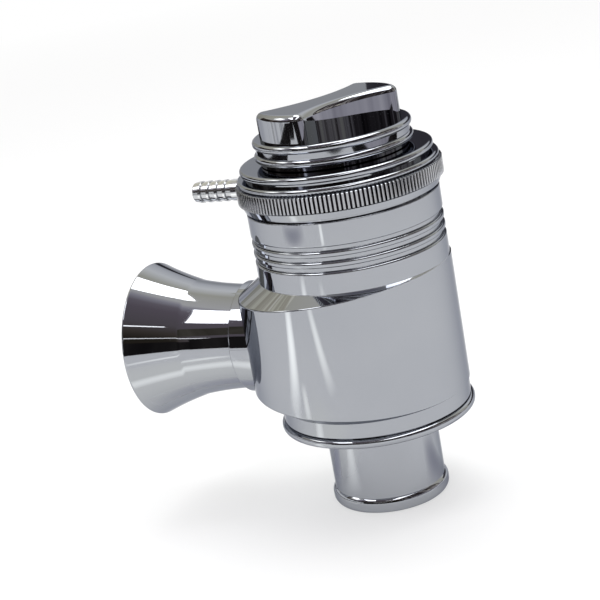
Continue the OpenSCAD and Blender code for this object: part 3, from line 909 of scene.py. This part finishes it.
@dataclass
class Cap:
    """The cap: a bevel, a knurled band, a disc and a flange over a spigot that screws into the body."""

    spigot: float = 25.0
    spigot_low: float = 87.2
    body_top: float = 94.2
    gap: float = 27.5
    bevel_low: float = 95.1
    bevel: float = 28.9
    bevel_top: float = 29.85
    knurl_low: float = 97.2
    knurl_high: float = 102.5
    crest: float = KNURL_CREST
    root: float = KNURL_HOLLOW
    core: float = 29.2
    shell: float = 28.2
    flutes: int = 150
    flute_sinks: tuple[float, ...] = (0.06, 0.0, 0.0, 0.06, 0.94, 0.94)
    run_out: float = 0.35
    top_drop: float = 0.6
    disc: float = 29.8
    disc_high: float = 104.3
    groove: float = 27.2
    flange_low: float = 105.3
    flange: float = 28.5
    high: float = 107.4
    edge: float = 0.86
    bevel_edge: float = 0.15
    knurl_edge: float = 0.1
    stem_hole: float = 4.05
    ceiling: float = 101.1
    chamber: float = 18.0
    nipple_height: float = 98.3
    nipple_spot: float = 3.45
    nipple_seat: float = 29.8

    def knurl(self) -> Piece:
        """Models the knurled band: a ring of flutes with a short run-out at both ends.

        Each point of a flute sinks by its share of the way from the crest to the root.

        Returns:
            The band, with the flat for the nipple cut out of it.
        """
        points = len(self.flute_sinks)
        Bench.clear()
        bpy.ops.mesh.primitive_circle_add(
            vertices=self.flutes * points, radius=self.crest * MM, location=(0, 0, self.knurl_low * MM))
        band = Bench.named("knurl")
        Bench.settle()
        for index, share in enumerate(self.flute_sinks):
            Bench.pick(band, lambda v, index=index: v.index % points == index)
            inward = 1 - share * (self.crest - self.root) / self.crest
            bpy.ops.transform.resize(value=(inward, inward, 1), center_override=(0, 0, 0))
            Bench.leave()
        Bench.take(band)
        Bench.edit()
        bpy.ops.mesh.select_all(action="SELECT")
        low, high = self.knurl_low, self.knurl_high
        rings = [(low, self.shell), (low, self.root), (low + self.run_out, self.crest),
                 (high - self.run_out, self.crest), (high, self.crest - self.top_drop), (high, self.shell)]
        start = rings[0][1] / self.crest
        bpy.ops.transform.resize(value=(start, start, 1), center_override=(0, 0, 0))
        for (z, r), (next_z, next_r) in pairwise(rings):
            bpy.ops.mesh.extrude_edges_move(TRANSFORM_OT_translate={"value": (0, 0, (next_z - z) * MM)})
            grow = next_r / r
            bpy.ops.transform.resize(value=(grow, grow, 1), center_override=(0, 0, 0))
        bpy.ops.mesh.select_all(action="DESELECT")
        bpy.ops.mesh.select_non_manifold()
        bpy.ops.mesh.bridge_edge_loops()
        Bench.close_up()
        cutter = Bench.turn("spot_cutter", [
            Corner(0, self.nipple_seat), Corner(self.nipple_spot, self.nipple_seat),
            Corner(self.nipple_spot, self.crest + OVERSHOOT), Corner(0, self.crest + OVERSHOOT)], SMALL_STEPS)
        Bench.lay(cutter, self.nipple_height)
        Bench.cut(band, cutter)
        return band

    def is_knurl(self, face: bpy.types.MeshPolygon) -> bool:
        """Says whether a face of the cap belongs to the flutes of its knurl.

        Args:
            face: The face.

        Returns:
            Whether it does.
        """
        middle = face.center / MM
        low, high = self.knurl_low + self.run_out, self.knurl_high - self.run_out
        return low < middle.z < high and math.hypot(middle.x, middle.y) > self.core

    def build(self) -> Piece:
        """Models the cap.

        Returns:
            The cap with its knurl.
        """
        disc = bead(self.disc, self.knurl_high, self.disc_high, self.edge)
        flange = bead(self.flange, self.flange_low, self.high, self.edge)
        piece = Bench.turn("cap_shell", [
            Corner(self.chamber, self.spigot_low), Corner(self.spigot, self.spigot_low),
            Corner(self.spigot, self.body_top), Corner(self.gap, self.body_top),
            Corner(self.gap, self.bevel_low), Corner(self.bevel, self.bevel_low, self.bevel_edge),
            Corner(self.bevel_top, self.knurl_low, self.knurl_edge), Corner(self.shell, self.knurl_low),
            Corner(self.shell, self.knurl_high), *reversed(disc), Corner(self.groove, self.disc_high),
            Corner(self.groove, self.flange_low), *reversed(flange), Corner(self.stem_hole, self.high),
            Corner(self.stem_hole, self.ceiling), Corner(self.chamber, self.ceiling)])
        Bench.join(piece, [self.knurl()])
        Bench.smooth(piece)
        return piece

    def dress(self, piece: Piece, dresser: Dresser) -> None:
        """Polishes the cap, all but its flutes, and puts it in its node's place."""
        dresser.fit(piece, POLISHED, Body.HOUSING, "cap")
        dresser.dress_part(piece, KNURLED, self.is_knurl)


@dataclass
class VacuumNipple:
    """The hose nipple: a plain root and a row of barbs that taper towards the tip."""

    height: float = 98.3
    shank: float = 2.5
    shank_start: float = 18.1
    root: float = 30.4
    plain: float = 3.6
    tip: float = 48.0
    barb: float = 3.35
    step: float = 0.4
    barbs: int = 5
    bore: float = 1.4
    edge: float = 0.12
    tip_edge: float = 0.45
    mouth: float = 0.2
    crest_share: float = 0.25

    def build(self) -> Piece:
        """Models the nipple, turned along Z and then laid towards the trumpet's side.

        Returns:
            The nipple.
        """
        start = self.root + self.plain
        length = (self.tip - start) / self.barbs
        waist = self.barb - self.step
        section = [
            Corner(self.bore, self.shank_start), Corner(self.shank, self.shank_start),
            Corner(self.shank, self.root), Corner(self.barb, self.root, self.edge)]
        for i in range(self.barbs):
            low = start + i * length
            if i > 0:
                section.append(Corner(self.barb, low, self.edge))
            section.append(Corner(self.barb, low + length * self.crest_share, self.edge))
            if i < self.barbs - 1:
                section.append(Corner(waist, low + length, self.edge / 2))
        section += [Corner(waist, self.tip, self.tip_edge), Corner(self.bore, self.tip, self.mouth)]
        piece = Bench.turn("nipple", section, SMALL_STEPS)
        Bench.lay(piece, self.height)
        Bench.smooth(piece)
        return piece

    def dress(self, piece: Piece, dresser: Dresser) -> None:
        """Gives the nipple its satin finish and puts it in its node's place."""
        dresser.fit(piece, SATIN, Body.HOUSING, "vacuum_nipple")


@dataclass
class AdjusterKnob:
    """The knob: two beads with a groove between them, and a waisted finger grip on top."""

    radius: float = 23.4
    low: float = 107.7
    neck: float = 21.8
    neck_high: float = 108.7
    bead_high: float = 111.2
    groove: float = 22.6
    bead_low: float = 112.7
    deck: float = 115.2
    edge: float = 1.15
    washer_recess: float = 10.35
    washer_high: float = 108.1
    stem_hole: float = 4.02
    stem_high: float = 114.2
    grip_radius: float = 21.2
    grip_top: float = 123.5
    grip_end: float = 21.6
    grip_waist: float = 12.4
    grip_rounding: float = 2.0
    grip_segments: int = 7
    grip_corner: float = 2.5
    grip_turn: float = math.radians(61)
    grip_sink: float = 0.1
    grip_stretch: float = 0.8
    grip_clear: float = 3.2
    grub: float = 1.62
    grub_height: float = 111.95

    def grip_outline(self) -> list[Vector]:
        """Lays out the grip's plan: two round ends joined by two wide hollow arcs.

        Returns:
            The points of the plan at the foot of the grip, in metres.
        """
        half = self.grip_end / 2
        end_x = math.sqrt(self.grip_radius**2 - half**2)
        depth = (self.grip_end - self.grip_waist) / 2
        scoop = (end_x**2 + depth**2) / (2 * depth)
        end_angle = math.asin(half / self.grip_radius)
        scoop_angle = math.asin(end_x / scoop)
        plan: list[Corner] = []
        for side in (1, -1):
            plan.append(Corner(side * end_x, -side * half, self.grip_corner))
            clear = end_angle - self.grip_clear / self.grip_radius
            steps = round(2 * clear * self.grip_radius / self.grip_stretch)
            for k in range(steps + 1):
                a = clear * (2 * k / steps - 1)
                reach = side * self.grip_radius
                plan.append(Corner(reach * math.cos(a), reach * math.sin(a)))
            plan.append(Corner(side * end_x, side * half, self.grip_corner))
            clear = scoop_angle - self.grip_clear / scoop
            steps = round(2 * clear * scoop / self.grip_stretch)
            for k in range(steps + 1):
                a = clear * (1 - 2 * k / steps)
                dip = self.grip_waist / 2 + scoop * (1 - math.cos(a))
                plan.append(Corner(side * scoop * math.sin(a), side * dip))
        return [Vector((x, y, self.deck - self.grip_sink)) * MM for x, y in rounded_outline(plan)]

    def grip(self) -> Piece:
        """Models the grip: its plan drawn, raised and rounded along its top.

        Returns:
            The grip.
        """
        plan = self.grip_outline()
        piece = Bench.draw("grip", plan)
        bpy.ops.mesh.edge_face_add()
        bpy.ops.mesh.select_all(action="SELECT")
        rise = self.grip_top - self.deck + self.grip_sink
        bpy.ops.mesh.extrude_region_move(TRANSFORM_OT_translate={"value": (0, 0, rise * MM)})
        Bench.close_up()
        top = self.grip_top * MM
        Bench.pick(piece, lambda v: abs(v.co.z - top) < WELD)
        bpy.ops.mesh.select_mode(type="EDGE")
        bpy.ops.mesh.bevel(offset=self.grip_rounding * MM, offset_type="OFFSET", profile=0.5,
                           segments=self.grip_segments, affect="EDGES", clamp_overlap=False)
        Bench.close_up()
        Bench.take(piece)
        piece.rotation_euler = (0, 0, self.grip_turn)
        Bench.settle()
        Bench.smooth(piece)
        keep = piece.modifiers.new("flat_faces", "WEIGHTED_NORMAL")
        keep.keep_sharp = True
        bpy.ops.object.modifier_apply(modifier=keep.name)
        return piece

    def build(self) -> Piece:
        """Models the knob.

        Returns:
            The knob with its grip and the hole of its grub screw.
        """
        piece = Bench.turn("knob_beads", [
            Corner(0, self.deck), *bead(self.radius, self.bead_low, self.deck, self.edge, self.groove),
            *bead(self.radius, self.neck_high, self.bead_high, self.edge, foot_high=self.groove),
            Corner(self.neck, self.neck_high), Corner(self.neck, self.low),
            Corner(self.washer_recess, self.low), Corner(self.washer_recess, self.washer_high),
            Corner(self.stem_hole, self.washer_high), Corner(self.stem_hole, self.stem_high),
            Corner(0, self.stem_high)])
        cutter = Bench.turn("grub_cutter", [
            Corner(0, self.stem_hole), Corner(self.grub, self.stem_hole),
            Corner(self.grub, self.radius + OVERSHOOT), Corner(0, self.radius + OVERSHOOT)], SMALL_STEPS)
        Bench.take(cutter)
        cutter.rotation_euler = (0, math.pi / 2, self.grip_turn + math.pi / 2)
        cutter.location = (0, 0, self.grub_height * MM)
        Bench.settle()
        Bench.cut(piece, cutter)
        Bench.smooth(piece)
        Bench.join(piece, [self.grip()])
        return piece

    def dress(self, piece: Piece, dresser: Dresser) -> None:
        """Polishes the knob and puts it in its node's place."""
        dresser.fit(piece, POLISHED, Body.KNOB, "adjuster_knob")


@dataclass
class ReturnSpring:
    """The spring: open turns of round wire between two closed end turns, in two lengths that meet."""

    coil: float = 12.5
    wire: float = 1.1
    low: float = 42.7
    high: float = 92.4
    turns: int = 8
    upper_turns: int = 1
    end_pitch: float = 2.376
    meet_share: float = 1.2
    sides: int = 20
    steps: int = 48

    def stretch_of_turns(self, name: str, start: float, pitch: float, turns: int) -> Piece:
        """Makes some turns of even pitch.

        Args:
            name: Name of the object.
            start: Height of the wire's middle at the start, in mm.
            pitch: Rise per turn, in mm.
            turns: Number of turns.

        Returns:
            An open tube of those turns.
        """
        Bench.clear()
        bpy.ops.mesh.primitive_circle_add(
            vertices=self.sides, radius=self.wire * MM, location=(self.coil * MM, 0, start * MM),
            rotation=(math.pi / 2, 0, 0))
        piece = Bench.named(name)
        Bench.settle()
        screw = piece.modifiers.new("coil", "SCREW")
        screw.axis = "Z"
        screw.angle = math.tau
        screw.screw_offset = pitch * MM
        screw.iterations = turns
        screw.steps = self.steps
        screw.render_steps = self.steps
        bpy.ops.object.modifier_apply(modifier=screw.name)
        return piece

    def open_pitch(self) -> float:
        """Returns the rise of one open turn, in mm."""
        return (self.high - self.low - 2 * self.end_pitch) / (self.turns - 2)

    def split(self) -> float:
        """Returns the height at which the two lengths of wire meet, in mm."""
        return self.high - self.end_pitch - self.upper_turns * self.open_pitch()

    def length(self, parts: Sequence[Piece]) -> Piece:
        """Joins stretches of turns into one length of wire and closes its ends.

        Args:
            parts: The stretches, in order.

        Returns:
            The length as one closed object.
        """
        piece = parts[0]
        Bench.join(piece, parts[1:])
        Bench.edit()
        bpy.ops.mesh.select_all(action="SELECT")
        bpy.ops.mesh.remove_doubles(threshold=WELD)
        bpy.ops.mesh.select_all(action="DESELECT")
        bpy.ops.mesh.select_non_manifold()
        bpy.ops.mesh.edge_face_add()
        Bench.close_up()
        Bench.smooth(piece)
        return piece

    def build(self) -> tuple[Piece, Piece]:
        """Models the spring.

        Returns:
            The long lower length and the short upper one.
        """
        pitch = self.open_pitch()
        lower_turns = self.turns - 2 - self.upper_turns
        lower = self.length([
            self.stretch_of_turns("spring_lower", self.low, self.end_pitch, 1),
            self.stretch_of_turns("lower_turns", self.low + self.end_pitch, pitch, lower_turns)])
        upper = self.length([
            self.stretch_of_turns("spring_upper", self.split(), pitch, self.upper_turns),
            self.stretch_of_turns("upper_end", self.high - self.end_pitch, self.end_pitch, 1)])
        return lower, upper

    def dress(self, lengths: Sequence[Piece], dresser: Dresser) -> None:
        """Gives both lengths plain steel and puts them in the spring's place."""
        for length in lengths:
            dresser.fit(length, STEEL, None, "return_spring")

    def follow(self, lower: Piece, upper: Piece) -> None:
        """Bakes each length's place into its mesh; the lengths are not tied to the piston or the spring seat.

        Args:
            lower: The long lower length.
            upper: The short upper length.
        """
        clear = self.wire * self.meet_share
        for piece, body, meet, away in (
                (lower, Body.PISTON, self.split() - clear, self.low + self.end_pitch),
                (upper, Body.SPRING_SEAT, self.split() + clear, self.high - self.end_pitch)):
            meet * MM
            away * MM
            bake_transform(piece)


@dataclass
class InnerParts:
    """The inner pieces, seals and pins that stay in view as their CAD nodes."""

    machined: tuple[str, ...] = ("piston", "spring_seat")
    steel: tuple[str, ...] = ("guide_pin_left", "guide_pin_right", "seal_retainer", "retainer_screw",
                              "knob_grub_screw", "adjuster_stem", "stem_circlip")
    rubber: tuple[str, ...] = ("base_o_ring", "trumpet_o_ring", "cap_o_ring", "nipple_washer", "seat_seal",
                               "upper_piston_ring", "lower_piston_ring", "stem_o_ring")
    polymer: tuple[str, ...] = ("thrust_washer",)

    def dress(self, dresser: Dresser) -> None:
        """Gives every node the finish of its material.

        Args:
            dresser: Keeper of the materials.
        """
        for finish, names in ((MACHINED, self.machined), (STEEL, self.steel),
                              (RUBBER, self.rubber), (POLYMER, self.polymer)):
            dresser.dress_nodes(finish, names)
            LOG.info("%s: %s", finish.name, ", ".join(names))


@dataclass(frozen=True)
class Card:
    """A card that only the metal mirrors: its place and size in metres, its turn and its tones."""

    name: str
    place: Vector
    size: Point
    turn: float
    tones: tuple[tuple[float, Colour], ...]
    streaks: float = 9.0
    lies_flat: bool = False

    def material(self) -> bpy.types.Material:
        """Makes the glow, in upright streaks; a card that lies flat fades out towards its edges.

        Returns:
            The card's material.
        """
        made, sheet = blank_material(self.name)
        place = sheet.place()
        across = sheet.stretch(place, (self.size[0], 0, 0))
        tone = sheet.ramp(sheet.noise(across, self.streaks, 3.0), self.tones)
        surface = sheet.out(sheet.node("ShaderNodeEmission", {}, {"Color": tone, "Strength": 1.0}))
        if self.lies_flat:
            split = sheet.node("ShaderNodeSeparateXYZ", {}, {"Vector": place})
            along, aside = sheet.out(split, "X"), sheet.out(split, "Y")
            # A plane's own coordinates run from -0.5 to 0.5, so nothing of the glow is left at its edges
            fade = (1 - along * along * 4) * (1 - aside * aside * 4)
            clear = sheet.out(sheet.node("ShaderNodeBsdfTransparent"))
            surface = sheet.out(sheet.node("ShaderNodeMixShader", {}, {0: fade, 1: clear, 2: surface}))
        sheet.node("ShaderNodeOutputMaterial", {}, {"Surface": surface})
        return made


@dataclass
class Studio:
    """The camera, the floor and the soft light round the valve.

    The camera's distance and height are in mm, and the sizes of the room in metres.
    """

    distance: float = 479.781
    height: float = 208.032
    pitch: float = math.radians(16.58887)
    yaw: float = math.radians(-2.11285)
    roll: float = math.radians(-10.28447)
    turn: float = math.radians(24.49)
    focal_in_frames: float = 1678.876 / 600
    floor_size: float = 12.0
    floor_paper: Colour = (0.86, 0.87, 0.88, 1)
    floor_white: float = 0.55
    floor_near: float = 0.35
    floor_fade: float = 0.4
    backdrop_reach: float = 0.003
    strip_tilt: float = math.radians(7)
    front_reach: float = 0.53
    front_height: float = 0.09
    strip_warmth: float = 0.96
    strip_coolness: float = 1.12
    ceiling: float = 0.86
    aim_height: float = 0.06

    def camera_way(self) -> Vector:
        """Returns the level direction from the valve to the camera."""
        return Vector((math.sin(self.turn), -math.cos(self.turn), 0))

    def camera(self) -> None:
        """Makes the camera at the photograph's viewing angle."""
        data = bpy.data.cameras.new("camera")
        data.lens = self.focal_in_frames * data.sensor_width
        data.clip_start, data.clip_end = 0.01, 50
        camera = bpy.data.objects.new("camera", data)
        bpy.context.scene.collection.objects.link(camera)
        level = Matrix.Rotation(self.turn, 3, "Z")
        forward = level @ Vector((math.sin(self.yaw) * math.cos(self.pitch),
                                  math.cos(self.yaw) * math.cos(self.pitch), -math.sin(self.pitch)))
        right = forward.cross(Vector((0, 0, 1))).normalized()
        up = right.cross(forward)
        right, up = (math.cos(self.roll) * right + math.sin(self.roll) * up,
                     math.cos(self.roll) * up - math.sin(self.roll) * right)
        pose = Matrix((right, up, -forward)).transposed().to_4x4()
        pose.translation = (self.camera_way() * self.distance + Vector((0, 0, self.height))) * MM
        camera.matrix_world = pose
        bpy.context.scene.camera = camera

    def floor(self) -> None:
        """Lays the pale floor, white to the camera and in the metal, with the valve's soft shadow on it."""
        Bench.clear()
        bpy.ops.mesh.primitive_plane_add(size=self.floor_size, location=(0, 0, 0))
        plane = Bench.named("floor")
        made, sheet = blank_material("pale_floor")
        path = sheet.node("ShaderNodeLightPath")
        seen = sheet.out(path, "Is Camera Ray").most(sheet.out(path, "Is Glossy Ray"))
        seen = seen.most(sheet.out(path, "Is Transmission Ray"))
        away = sheet.length(sheet.place())
        share = self.floor_white + (away - self.floor_near).most(0.0) * self.floor_fade
        paper = sheet.node("ShaderNodeBsdfDiffuse", {}, {"Color": self.floor_paper})
        white = sheet.node("ShaderNodeEmission", {}, {"Color": (1, 1, 1, 1), "Strength": 1.0})
        mixed = sheet.node("ShaderNodeMixShader", {}, {
            0: seen * share.least(1.0), 1: sheet.out(paper), 2: sheet.out(white)})
        sheet.node("ShaderNodeOutputMaterial", {}, {"Surface": sheet.out(mixed)})
        plane.data.materials.append(made)

    def sky(self) -> None:
        """Makes the room: pale behind the valve and overhead, dark behind the camera."""
        world = bpy.data.worlds.new("room")
        bpy.context.scene.world = world
        world.use_nodes = True
        sheet = Sheet(world.node_tree)
        ray = sheet.out(sheet.node("ShaderNodeTexCoord"), "Generated")
        towards = sheet.out(sheet.node("ShaderNodeVectorMath", {"operation": "DOT_PRODUCT"},
                                       {0: ray, 1: self.camera_way()}), "Value")
        facing = towards * 0.5 + 0.5
        room = sheet.ramp(facing, [
            (0.0, (0.8, 0.8, 0.77, 1)), (0.012, (0.82, 0.82, 0.8, 1)), (0.05, (1.1, 1.1, 1.1, 1)),
            (0.13, (1.2, 1.2, 1.18, 1)), (0.26, (0.72, 0.70, 0.60, 1)), (0.5, (0.80, 0.78, 0.76, 1)),
            (0.555, (0.48, 0.46, 0.52, 1)), (0.62, (0.25, 0.22, 0.255, 1)), (0.7, (0.19, 0.16, 0.19, 1)),
            (0.86, (0.155, 0.135, 0.15, 1)), (0.93, (0.085, 0.07, 0.06, 1)),
            (0.965, (0.035, 0.029, 0.022, 1))])
        backdrop = sheet.node("ShaderNodeBackground", {}, {"Color": (1, 1, 1, 1), "Strength": 1.0})
        light = sheet.node("ShaderNodeBackground", {}, {"Color": room, "Strength": 1.0})
        path = sheet.node("ShaderNodeLightPath")
        mirrored = sheet.out(path, "Is Glossy Ray").most(sheet.out(path, "Is Transmission Ray"))
        behind = sheet.math("LESS_THAN", facing, self.backdrop_reach)
        mixed = sheet.node("ShaderNodeMixShader", {}, {
            0: sheet.out(path, "Is Camera Ray").most(mirrored * behind), 1: sheet.out(light),
            2: sheet.out(backdrop)})
        sheet.node("ShaderNodeOutputWorld", {}, {"Surface": sheet.out(mixed)})

    def panel(self, name: str, place: Vector, size: Point, radiance: float, tilted: bool = True) -> Piece:
        """Hangs a soft light panel.

        Args:
            name: Name of the lamp.
            place: Its middle, in metres.
            size: Its width and height, in metres.
            radiance: How bright its face is, where 1 is white.
            tilted: Whether it faces the valve, or else straight down.

        Returns:
            The lamp.
        """
        data = bpy.data.lights.new(name, "AREA")
        data.shape = "RECTANGLE"
        data.size, data.size_y = size
        data.energy = radiance * math.pi * size[0] * size[1]
        lamp = bpy.data.objects.new(name, data)
        bpy.context.scene.collection.objects.link(lamp)
        lamp.location = place
        if tilted:
            target = Vector((0, 0, self.aim_height))
            lamp.rotation_euler = (target - place).to_track_quat("-Z", "Y").to_euler()
        lamp.visible_camera = False
        return lamp

    def light(self) -> None:
        """Hangs the ceiling panels, thin strips behind the camera and the large soft light overhead."""
        self.panel("panel_left", Vector((-0.41, -0.485, self.ceiling)), (0.31, 0.53), 5.0, tilted=False)
        self.panel("panel_back", Vector((0.075, 0.235, self.ceiling)), (0.69, 0.34), 5.0, tilted=False)
        self.panel("panel_right", Vector((0.44, -0.35, self.ceiling)), (0.28, 1.0), 3.6, tilted=False)
        self.panel("strip_high", Vector((0.35, -1.02, self.ceiling)), (0.5, 0.05), 3.0, tilted=False)
        strip = self.panel("strip_low", Vector((-0.1, -1.6, 0.57)), (1.5, 0.028), 2.0)
        strip.rotation_euler.rotate_axis("Z", self.strip_tilt)
        softbox = self.panel("softbox", Vector((-0.5, 0.55, 1.6)), (1.3, 1.3), 1.6)
        softbox.visible_glossy = False

    def card(self, card: Card) -> None:
        """Puts up a card that is only seen in the metal.

        Args:
            card: The card.
        """
        Bench.clear()
        tilt = 0.0 if card.lies_flat else math.pi / 2
        bpy.ops.mesh.primitive_plane_add(size=1, location=card.place, rotation=(tilt, 0, card.turn))
        plane = Bench.named(card.name)
        plane.scale = (*card.size, 1)
        plane.data.materials.append(card.material())
        plane.visible_camera = False
        plane.visible_diffuse = False
        plane.visible_shadow = False

    def cards(self) -> None:
        """Puts up the cards round the floor and lays soft strips on the floor that only the metal mirrors:
        painted pools of light, painted shadow beside the tail and one darker patch.
        """
        side = math.pi / 2
        dark = ((0.35, (0.008, 0.007, 0.008, 1)), (0.7, (0.03, 0.027, 0.026, 1)))
        dusk = ((0.35, (0.03, 0.027, 0.032, 1)), (0.65, (0.16, 0.15, 0.17, 1)))
        brown = ((0.36, (0.015, 0.012, 0.011, 1)), (0.55, (0.07, 0.055, 0.045, 1)),
                 (0.66, (0.2, 0.17, 0.14, 1)))
        mixed = ((0.38, (0.02, 0.018, 0.022, 1)), (0.42, (0.9, 0.9, 0.92, 1)), (0.52, (1.1, 1.1, 1.1, 1)),
                 (0.545, (0.06, 0.05, 0.05, 1)), (0.57, (1.0, 1.0, 1.0, 1)), (0.68, (0.5, 0.5, 0.52, 1)))
        grey = ((0.36, (0.28, 0.26, 0.31, 1)), (0.48, (0.52, 0.5, 0.56, 1)), (0.64, (0.72, 0.69, 0.74, 1)))
        patchy = ((0.42, (0.012, 0.01, 0.012, 1)), (0.52, (0.1, 0.085, 0.085, 1)),
                  (0.6, (0.5, 0.46, 0.44, 1)), (0.64, (0.06, 0.05, 0.05, 1)))
        olive = ((0.36, (0.3, 0.27, 0.2, 1)), (0.46, (0.95, 0.92, 0.76, 1)), (0.5, (0.6, 0.56, 0.45, 1)),
                 (0.56, (1.0, 0.97, 0.84, 1)))
        umber = ((0.35, (0.05, 0.045, 0.035, 1)), (0.65, (0.1, 0.09, 0.075, 1)))
        tan = ((0.4, (0.08, 0.065, 0.06, 1)), (0.5, (0.5, 0.45, 0.42, 1)), (0.6, (0.7, 0.66, 0.55, 1)))
        bright = ((0.3, (3.4, 3.35, 3.2, 1)), (0.7, (4.0, 3.95, 3.8, 1)))
        front = self.camera_way() * self.front_reach + Vector((0, 0, self.front_height))
        for card in (
                Card("front_card", front, (1.3, 0.17), self.turn, dark),
                Card("front_left_card", Vector((-0.378, -0.49, 0.115)), (0.5, 0.23),
                     math.radians(-37.5), dark),
                Card("left_card", Vector((-0.36, 0.05, 0.09)), (1.1, 0.1), side, mixed, streaks=8.0),
                Card("left_low_card", Vector((-0.365, 0.0, 0.027)), (1.2, 0.028), side, dark),
                Card("left_wall", Vector((-0.7, -0.48, 0.25)), (1.44, 0.34), side, brown, streaks=5.0),
                Card("left_window", Vector((-0.69, -0.2, 0.7)), (0.3, 0.26), side, bright),
                Card("left_back_wall", Vector((-0.95, 0.5, 0.74)), (0.9, 1.24), math.radians(62), olive),
                Card("front_left_wall", Vector((-0.42, -0.9, 0.57)), (0.7, 0.3), math.radians(-20), umber),
                Card("right_card", Vector((0.365, 0.0, 0.06)), (0.8, 0.05), side, grey, streaks=6.0),
                Card("right_low_card", Vector((0.37, 0.0, 0.026)), (0.9, 0.022), side, dark),
                Card("right_wall", Vector((0.62, -0.2, 0.43)), (1.4, 0.74), side, patchy, streaks=7.0),
                Card("right_curtain", Vector((0.61, 0.27, 0.24)), (0.4, 0.18), side, tan, streaks=14.0),
                Card("right_back_wall", Vector((0.115, 0.9, 0.23)), (0.97, 0.26), 0.0, dusk)):
            self.card(card)
        # Glow above 1 paints a pool of light on the floor; the two dim strips beside the tail paint the
        # valve's shadow, and the last strip is a darker patch
        # Place, length and width in metres, turn in degrees, and glow, where 1 is white
        for x, y, z, length, width, turn, glow in (
                (-0.064, -0.064, 0.0004, 0.13, 0.02, 42.0, 1.75),
                (-0.142, -0.164, 0.0004, 0.19, 0.034, 59.0, 2.3),
                (-0.0405, -0.377, 0.0004, 0.08, 0.028, 83.4, 2.0),
                (-0.05, -0.216, 0.0004, 0.15, 0.026, 60.0, 1.9),
                (-0.08, -0.118, 0.0004, 0.05, 0.016, 50.0, 1.7),
                (-0.056, -0.076, 0.0003, 0.15, 0.075, 104.0, 1.2),
                (-0.047, -0.006, 0.0004, 0.05, 0.022, 15.0, 0.7),
                (0.036, 0.014, 0.0004, 0.05, 0.03, 20.0, 0.55),
                (-0.245, -0.285, 0.0004, 0.2, 0.05, 139.0, 0.56)):
            tint = self.strip_warmth if glow > 1 else self.strip_coolness
            tone = (glow, glow, glow * tint, 1)
            self.card(Card("painted_floor_light_and_shade", Vector((x, y, z)), (length, width), math.radians(turn),
                           ((0.3, tone), (0.7, tone)), lies_flat=True))

    def build(self) -> None:
        """Sets up the whole studio."""
        self.camera()
        self.floor()
        self.sky()
        self.light()
        self.cards()
        bpy.context.scene.view_settings.view_transform = "Standard"


def main() -> None:
    """Builds the studio and every piece of the valve."""
    logging.basicConfig(level=logging.INFO, format="%(name)s: %(message)s")
    Bench.clear()
    Studio().build()
    dresser = Dresser()
    for part in (ValveBody(), InletBase(), HoseTail(), Trumpet(), Cap(), VacuumNipple(), AdjusterKnob()):
        piece = part.build()
        part.dress(piece, dresser)
        LOG.info("%s: %d faces", piece.name, len(piece.data.polygons))
    spring = ReturnSpring()
    lengths = spring.build()
    spring.dress(lengths, dresser)
    spring.follow(*lengths)
    for length in lengths:
        LOG.info("%s: %d faces", length.name, len(length.data.polygons))
    InnerParts().dress(dresser)


if __name__ == "__main__":
    main()
